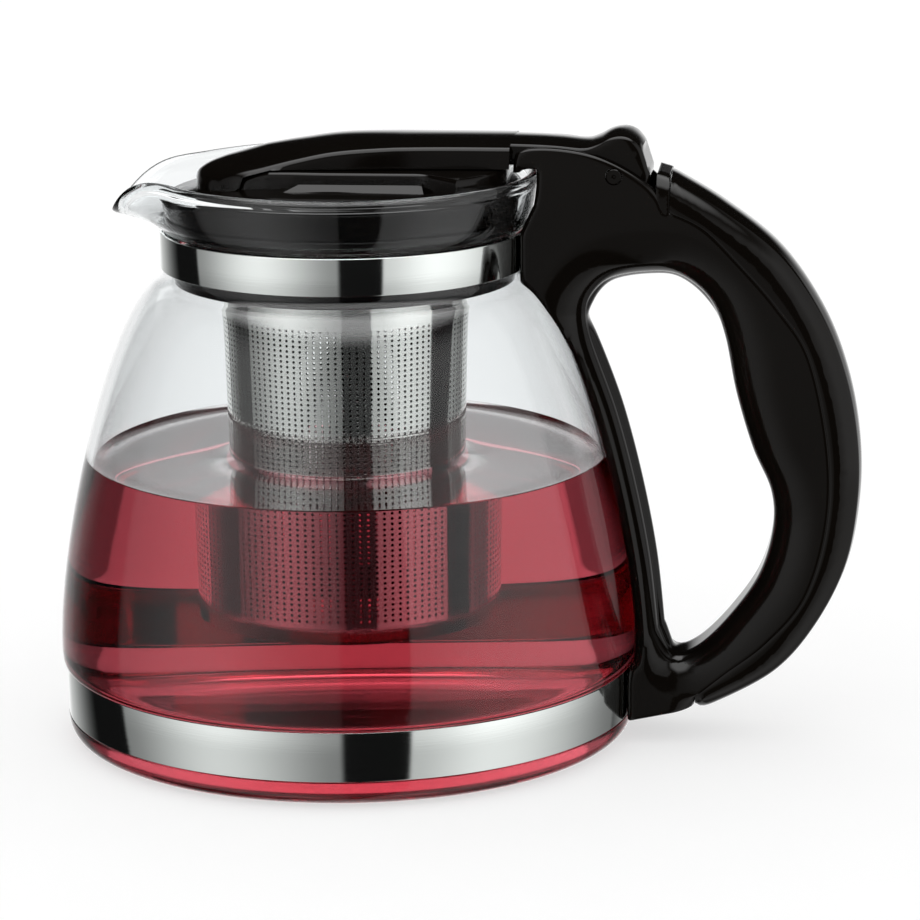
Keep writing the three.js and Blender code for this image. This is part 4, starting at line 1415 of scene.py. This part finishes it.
def make_handle_frame():
    loop = frame_loop()

    def bulge(at):
        distance, height = nearest(at, finger_gap, gap_bulge, True)
        return np.where(distance < NEAR_EDGE, height, 0.0)

    loops = [loop, even(finger_gap, 1.2, True)]
    body = rounded_slab(loops, frame_half(loop), 1.6, FRAME_RINGS, 12, edge_radius, bulge)
    hub = arc(PIN, SLOT_RADIUS, math.pi, 2 * math.pi, 25)
    step, low = SLOT_STEP
    mouth = [(SLOT_FRONT, SLOT_ABOVE), (SLOT_FRONT, low), (step, low), (step, SLOT_FLOOR)]
    ends = [(PIN[0] - SLOT_RADIUS, SLOT_FLOOR)], [(PIN[0] + SLOT_RADIUS, SLOT_ABOVE)]
    slot = np.vstack([mouth, ends[0], hub, ends[1]])
    moulding = cut(
        clean_mesh("moulding", *body),
        clean_mesh("slot", *prism_across(slot, SLOT_HALF)),
        clean_mesh("pin_hole", *pin_bore(PIN_HOLE)),
    )
    mesh = merged("handle_moulding", moulding, clean_mesh("cap", *hinge_cap()))
    place(mesh, "jug", "black_plastic", black_plastic, ["handle_frame"], 32)


make_handle_frame()

# %% Cover of the grip
SEAM_LAP = 0.15
COVER_CROWN = 0.5


def make_grip_cover():
    lifted = moved_in(seam, SEAM_LAP)
    loop = even(np.vstack([lifted, outer_edge]), 1.2, closed=True)

    def half_of(points):
        return handle_half(points) - falloff(distance_to(points, lifted), SEAM_ROUND)

    def crown(at):
        return np.where(on_line(at, outer_edge), COVER_CROWN, 0.0)

    mesh = clean_mesh("grip_cover", *rounded_slab([loop], half_of, swell=crown))
    place(mesh, "jug", "black_plastic", black_plastic, ["handle_backstrap"], 32)


make_grip_cover()

# %% [markdown]
# ## Hinge pin
# The lid swings on a plain pin whose ends sit flush in the cheeks of the handle. Each end has a
# small centre mark, so the pin is turned from an outline that dips in the middle of its ends.

# %% Pin
PIN_RADIUS = 2.0
PIN_EASE = 0.25
CENTRE_MARK = [(0, 0.35), (0.3, 0.3), (0.55, 0)]


def make_pin():
    end = HANDLE_HALF + 0.05
    corners = [*CENTRE_MARK, (PIN_RADIUS - PIN_EASE, 0), (PIN_RADIUS, PIN_EASE)]
    far = [(radius, end - depth) for radius, depth in corners]
    near = [(radius, -across) for radius, across in far]
    mesh = clean_mesh("lid_hinge_pin", *turned_across(near + far[::-1]))
    place(mesh, "jug", "black_plastic", black_plastic, ["hinge_pin"], 40)


make_pin()

# %% [markdown]
# ## Lid
# The lid is a shallow black cup with a low cone on top, let down a little behind the pouring lip.
# It carries a raised seat with a sloping ledge on each side. Over it lies the arm, a broad crowned
# tongue that narrows to a bar between the cheeks and ends in the thumb tab. The tongue is a row of
# cross sections skinned into one surface, which gives the crown and the soft edge.

# %% Lid disc
DISC_TOP = 145.05
DISC_RADIUS = 45.36
CROWN_TOP = 147.95
CROWN_RADIUS = 21.0
SEAT_TOP = 149.8
SEAT_EASE = 1.2
SEAT_ROOT = 5.5
SEAT_HALF = 21.5
SEAT_BEND = 23.0
SEAT_REAR = 42.6
SEAT_TRIM = DISC_RADIUS - 1.2
SEAT_TAPER = [(-24, 17, 0.8), (-20, 18.6, 1), (-16.5, 19.8, 2), (-10, 21, 3), (-2, SEAT_HALF, 4)]
SEAT_SLOPE = [-24, -20, -16.5, -12], [147.4, 148.7, 149.6, SEAT_TOP]
LEDGE = {"inner": 20.0, "top": (-8.5, 22.5, 21.9, 147.0), "foot": (-13.5, 23.5, 25.3, 144.7)}
POURING_DIP = 0.4
DIP_START = 27
DIP_REACH = 11
DIP_ANGLE = 65
DIP_FADE = 40
DISC_BOTTOM = FLANGE[1] + PLAY
DISC_CONE = [(17, CROWN_TOP), (20.5, CROWN_TOP), (21.5, 145.6), (25.5, 145.4)]
disc_slope = np.vstack([bezier(DISC_CONE, 14), [(DISC_RADIUS - 1.6, DISC_TOP)]])


def smoothed(share):
    share = np.clip(share, 0, 1)
    return share**2 * (3 - 2 * share)


def dipped(points):
    """The points with the part of the disc behind the pouring lip let down towards its lower edge."""
    x, y, z = points.T
    outward = smoothed((np.hypot(x, y) - DIP_START) / DIP_REACH)
    aside = smoothed((DIP_ANGLE - np.degrees(np.abs(np.arctan2(y, -x)))) / DIP_FADE)
    share = POURING_DIP * outward * aside
    return np.column_stack([x, y, z - share * np.maximum(z - DISC_BOTTOM, 0)])


def disc_height(x, y):
    radius = np.hypot(x, y)
    level = np.interp(radius, disc_slope[:, 0], disc_slope[:, 1])
    return dipped(np.column_stack([np.full(len(y), x), y, level]))[:, 2]


def seat_height(x):
    return np.interp(x, *SEAT_SLOPE)


def raised_seat():
    """The seat under the arm, which spreads to the edge of the disc behind a bend."""
    offset = SEAT_HALF - SEAT_BEND
    meet = -offset / 2 + math.sqrt(SEAT_TRIM**2 / 2 - (offset / 2) ** 2)
    arc_start = math.atan2(meet + offset, meet)
    arc_end = math.acos(SEAT_REAR / SEAT_TRIM)
    rear = [(x, y, 0) for x, y in arc((0, 0), SEAT_TRIM, arc_start, arc_end, 8)]
    side = [*SEAT_TAPER, (SEAT_BEND, SEAT_HALF, 6.0), *rear]
    loop = eased(side + [(x, -y, r) for x, y, r in side[::-1]])
    count = len(loop)
    top = seat_height(loop[:, 0])
    root, foot = (np.full(count, z) for z in (CROWN_TOP - 1.5, DISC_TOP - 0.45))
    levels = [(SEAT_ROOT, root), (0, foot), (0, top - SEAT_EASE)]
    for a in np.linspace(0.25, math.pi / 2, 6):
        levels.append((SEAT_EASE * (1 - math.cos(a)), top - SEAT_EASE * (1 - math.sin(a))))
    points = [np.column_stack([loop - edge_normals(loop) * inset, z]) for inset, z in levels]
    start = (len(levels) - 1) * count
    end = start + count - 1
    lid = [(start + k, start + k + 1, end - k - 1, end - k) for k in range(count // 2 - 1)]
    return np.vstack(points), skin(len(levels), count) + lid + [tuple(range(count))]


def front_ledge(side):
    """A sloping ledge on the disc beside the seat."""
    points = []
    for key in ("foot", "top"):
        left, right, reach, z = LEDGE[key]
        points += [(left, side * LEDGE["inner"], z), (right, side * LEDGE["inner"], z)]
        points += [(right, side * reach, z), (left, side * reach, z)]
    return np.array(points), skin(2, 4) + [(0, 1, 2, 3), (4, 5, 6, 7)]


def make_disc():
    below = eased([
        (DISC_RADIUS, DISC_TOP - 1.2, 1.2), (DISC_RADIUS - 0.8, DISC_BOTTOM, 0.5),
        (DISC_RADIUS - 2.8, DISC_BOTTOM, 0.5),
        (DISC_RADIUS - 3.6, DISC_TOP - 3.6, 1.5), (DISC_RADIUS - 5.2, DISC_TOP - 2, 1.5),
        (CROWN_RADIUS + 1.5, DISC_TOP - 1.8, 1.5), (CROWN_RADIUS - 4.5, CROWN_TOP - 2, 1.5),
        (0, CROWN_TOP - 2, 0), (0, CROWN_TOP, 0),
    ])[:-1]
    edge = [(DISC_RADIUS - 0.7, DISC_TOP - 0.06), (DISC_RADIUS, DISC_TOP - 0.7)]
    shoulder = bezier([disc_slope[-1], *edge], 5)
    outline = np.vstack([[(0, CROWN_TOP)], disc_slope[:-1], shoulder, below])
    points, faces = turned(outline, 160, closed=False)
    body = joined((dipped(points), faces), raised_seat(), front_ledge(-1), front_ledge(1))
    place(clean_mesh("lid_cup", *body), "lid", "black_plastic", black_plastic, ["lid_disc"], 30)


make_disc()

# %% Outline of the lid arm
ARM_NOSE = 38.0
ARM_REAR = 43.86
ARM_FOOT = 150.1
TAB = 9.8
TAB_CROWN = 0.7
SLOT_PLAY = 0.2
BAR_TOP = 7.1
BAR_HALF = 10.5
BAR_EASE = 1.2
BAR_LINE = [(55.8, 155.32), (50, 155.65), (ARM_REAR - 2, 155.85)]
HUB_RADIUS = 8.9
PIN_WAY = 2.4
SPINE_TOP = PIN[1] + BAR_TOP
tab_line = PIN + TAB * np.array([
    (0.7, 0.66), (0.49, 0.9), (0.2, 1.0), (-0.13, 0.95), (-0.44, 0.79), (-0.8, 0.6846), (-1.5, 0.7136)])
nose_falls = [
    (23.68, 0), (1.9, 0.4), (-11.02, 2.27), (-20.9, 4.19),
    (-28.88, 5.82), (-34.2, 6.89), (-37.24, 8.38)]
nose_line = [(x, SPINE_TOP - fall) for x, fall in nose_falls] + [(-ARM_NOSE, DISC_TOP)]
spine = spline(np.vstack([tab_line, nose_line]), 160)
plan = spline([
    (-ARM_NOSE, 0), (-36.48, 7.03), (-31.54, 12.95), (-22.04, 18.5),
    (0, 17.58), (21.93, 15.45), (ARM_REAR, 15)], 80)
print("arm from", -ARM_NOSE, "to", ARM_REAR, "mm")

# %% Tongue of the arm
TONGUE_SAG = [-30, -20, -10, 2.5, 15], [1.9, 1.9, 1.1, 0.5, 0.0]
TONGUE_CROWN = [-38, -30, -20, -10, 2.5, 15], [2.2, 3.6, 4.4, 3.3, 2.3, 1.5]
TONGUE_EASE = 1.6
NOSE_LENGTH = 16
NOSE_STEP = 1.2


def tongue():
    fine = NOSE_LENGTH * (1 - np.cos(np.linspace(0, math.pi / 2, 22))) - ARM_NOSE
    marks = np.concatenate([fine, np.linspace(NOSE_LENGTH + NOSE_STEP - ARM_NOSE, ARM_REAR, 50)])
    edge = np.linspace(0.9, 1, 6)
    across = np.concatenate([-edge[::-1], np.linspace(-0.86, 0.86, 25), edge])
    sections = []
    for x in marks:
        half = max(float(np.interp(x, *plan.T)), 0.05)
        top = float(np.interp(x, *spine[::-1].T))
        sag = float(np.interp(x, *TONGUE_SAG))
        crown = float(np.interp(x, *TONGUE_CROWN))
        ease = min(TONGUE_EASE, half * 0.5)
        y = across * half
        over = np.clip((np.abs(y) - (half - ease)) / ease, 0, 1)
        z = top - sag + crown * (1 - across**2) - ease * (1 - np.sqrt(1 - over**2))
        on_seat = seat_height(x) + 0.3 if x > SEAT_TAPER[0][0] else 0
        seat = np.maximum(disc_height(x, y) + 0.15, on_seat)
        z = np.maximum(z, seat + 0.05)
        upper = np.stack([np.full(len(y), x), y, z], 1)
        lower = np.stack([np.full(len(y), x), y, seat], 1)[::-1]
        sections.append(np.vstack([upper, lower]))
    points = np.vstack(sections)
    count = len(sections[0])
    ends = [tuple(range(count)), tuple(range((len(sections) - 1) * count, len(sections) * count))]
    return points, skin(len(sections), count) + ends


print("half width of the tongue", round(plan[:, 1].max(), 1), "mm")

# %% Bar, hub and thumb tab
def bar():
    hub = arc(PIN, HUB_RADIUS, math.pi, 2 * math.pi, 30)
    top = spline(np.vstack([tab_line[:-1], BAR_LINE]), 70)
    front = [(ARM_REAR - 2, ARM_FOOT + 0.3), (PIN[0] - HUB_RADIUS, ARM_FOOT)]
    loop = even(np.vstack([hub, top, front]), 1.0, closed=True)

    def half_of(points):
        return BAR_HALF - falloff(distance_to(points, loop, True), BAR_EASE)

    def crown(at):
        """A crown on top that leaves the tab room to turn in the slot."""
        room = SLOT_RADIUS - SLOT_PLAY - np.linalg.norm(at - PIN, axis=1)
        height = np.where(at[:, 0] > PIN[0], np.clip(room, 0, TAB_CROWN), TAB_CROWN)
        return np.where(on_line(at, top), height, 0.0)

    return rounded_slab([loop], half_of, 1.4, EDGE_RINGS[:3], 10, swell=crown)


def make_arm():
    hinged = cut(clean_mesh("arm_bar", *bar()), clean_mesh("pin_way", *pin_bore(PIN_WAY)))
    mesh = merged("lid_arm_with_tab", clean_mesh("arm_tongue", *tongue()), hinged)
    place(mesh, "lid", "black_plastic", black_plastic, ["lid_arm"], 30)


make_arm()

# %% [markdown]
# ## Hidden hardware
# Barrel nuts and screws are right as they are in the solids. They stay, and get a plated finish,
# because the two screws under the lid show when it is up.

# %% Finish of the solids that stay
for name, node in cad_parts.items():
    if not node.hide_render:
        node.data.materials.clear()
        node.data.materials.append(fastener_steel)
        print("kept", name)
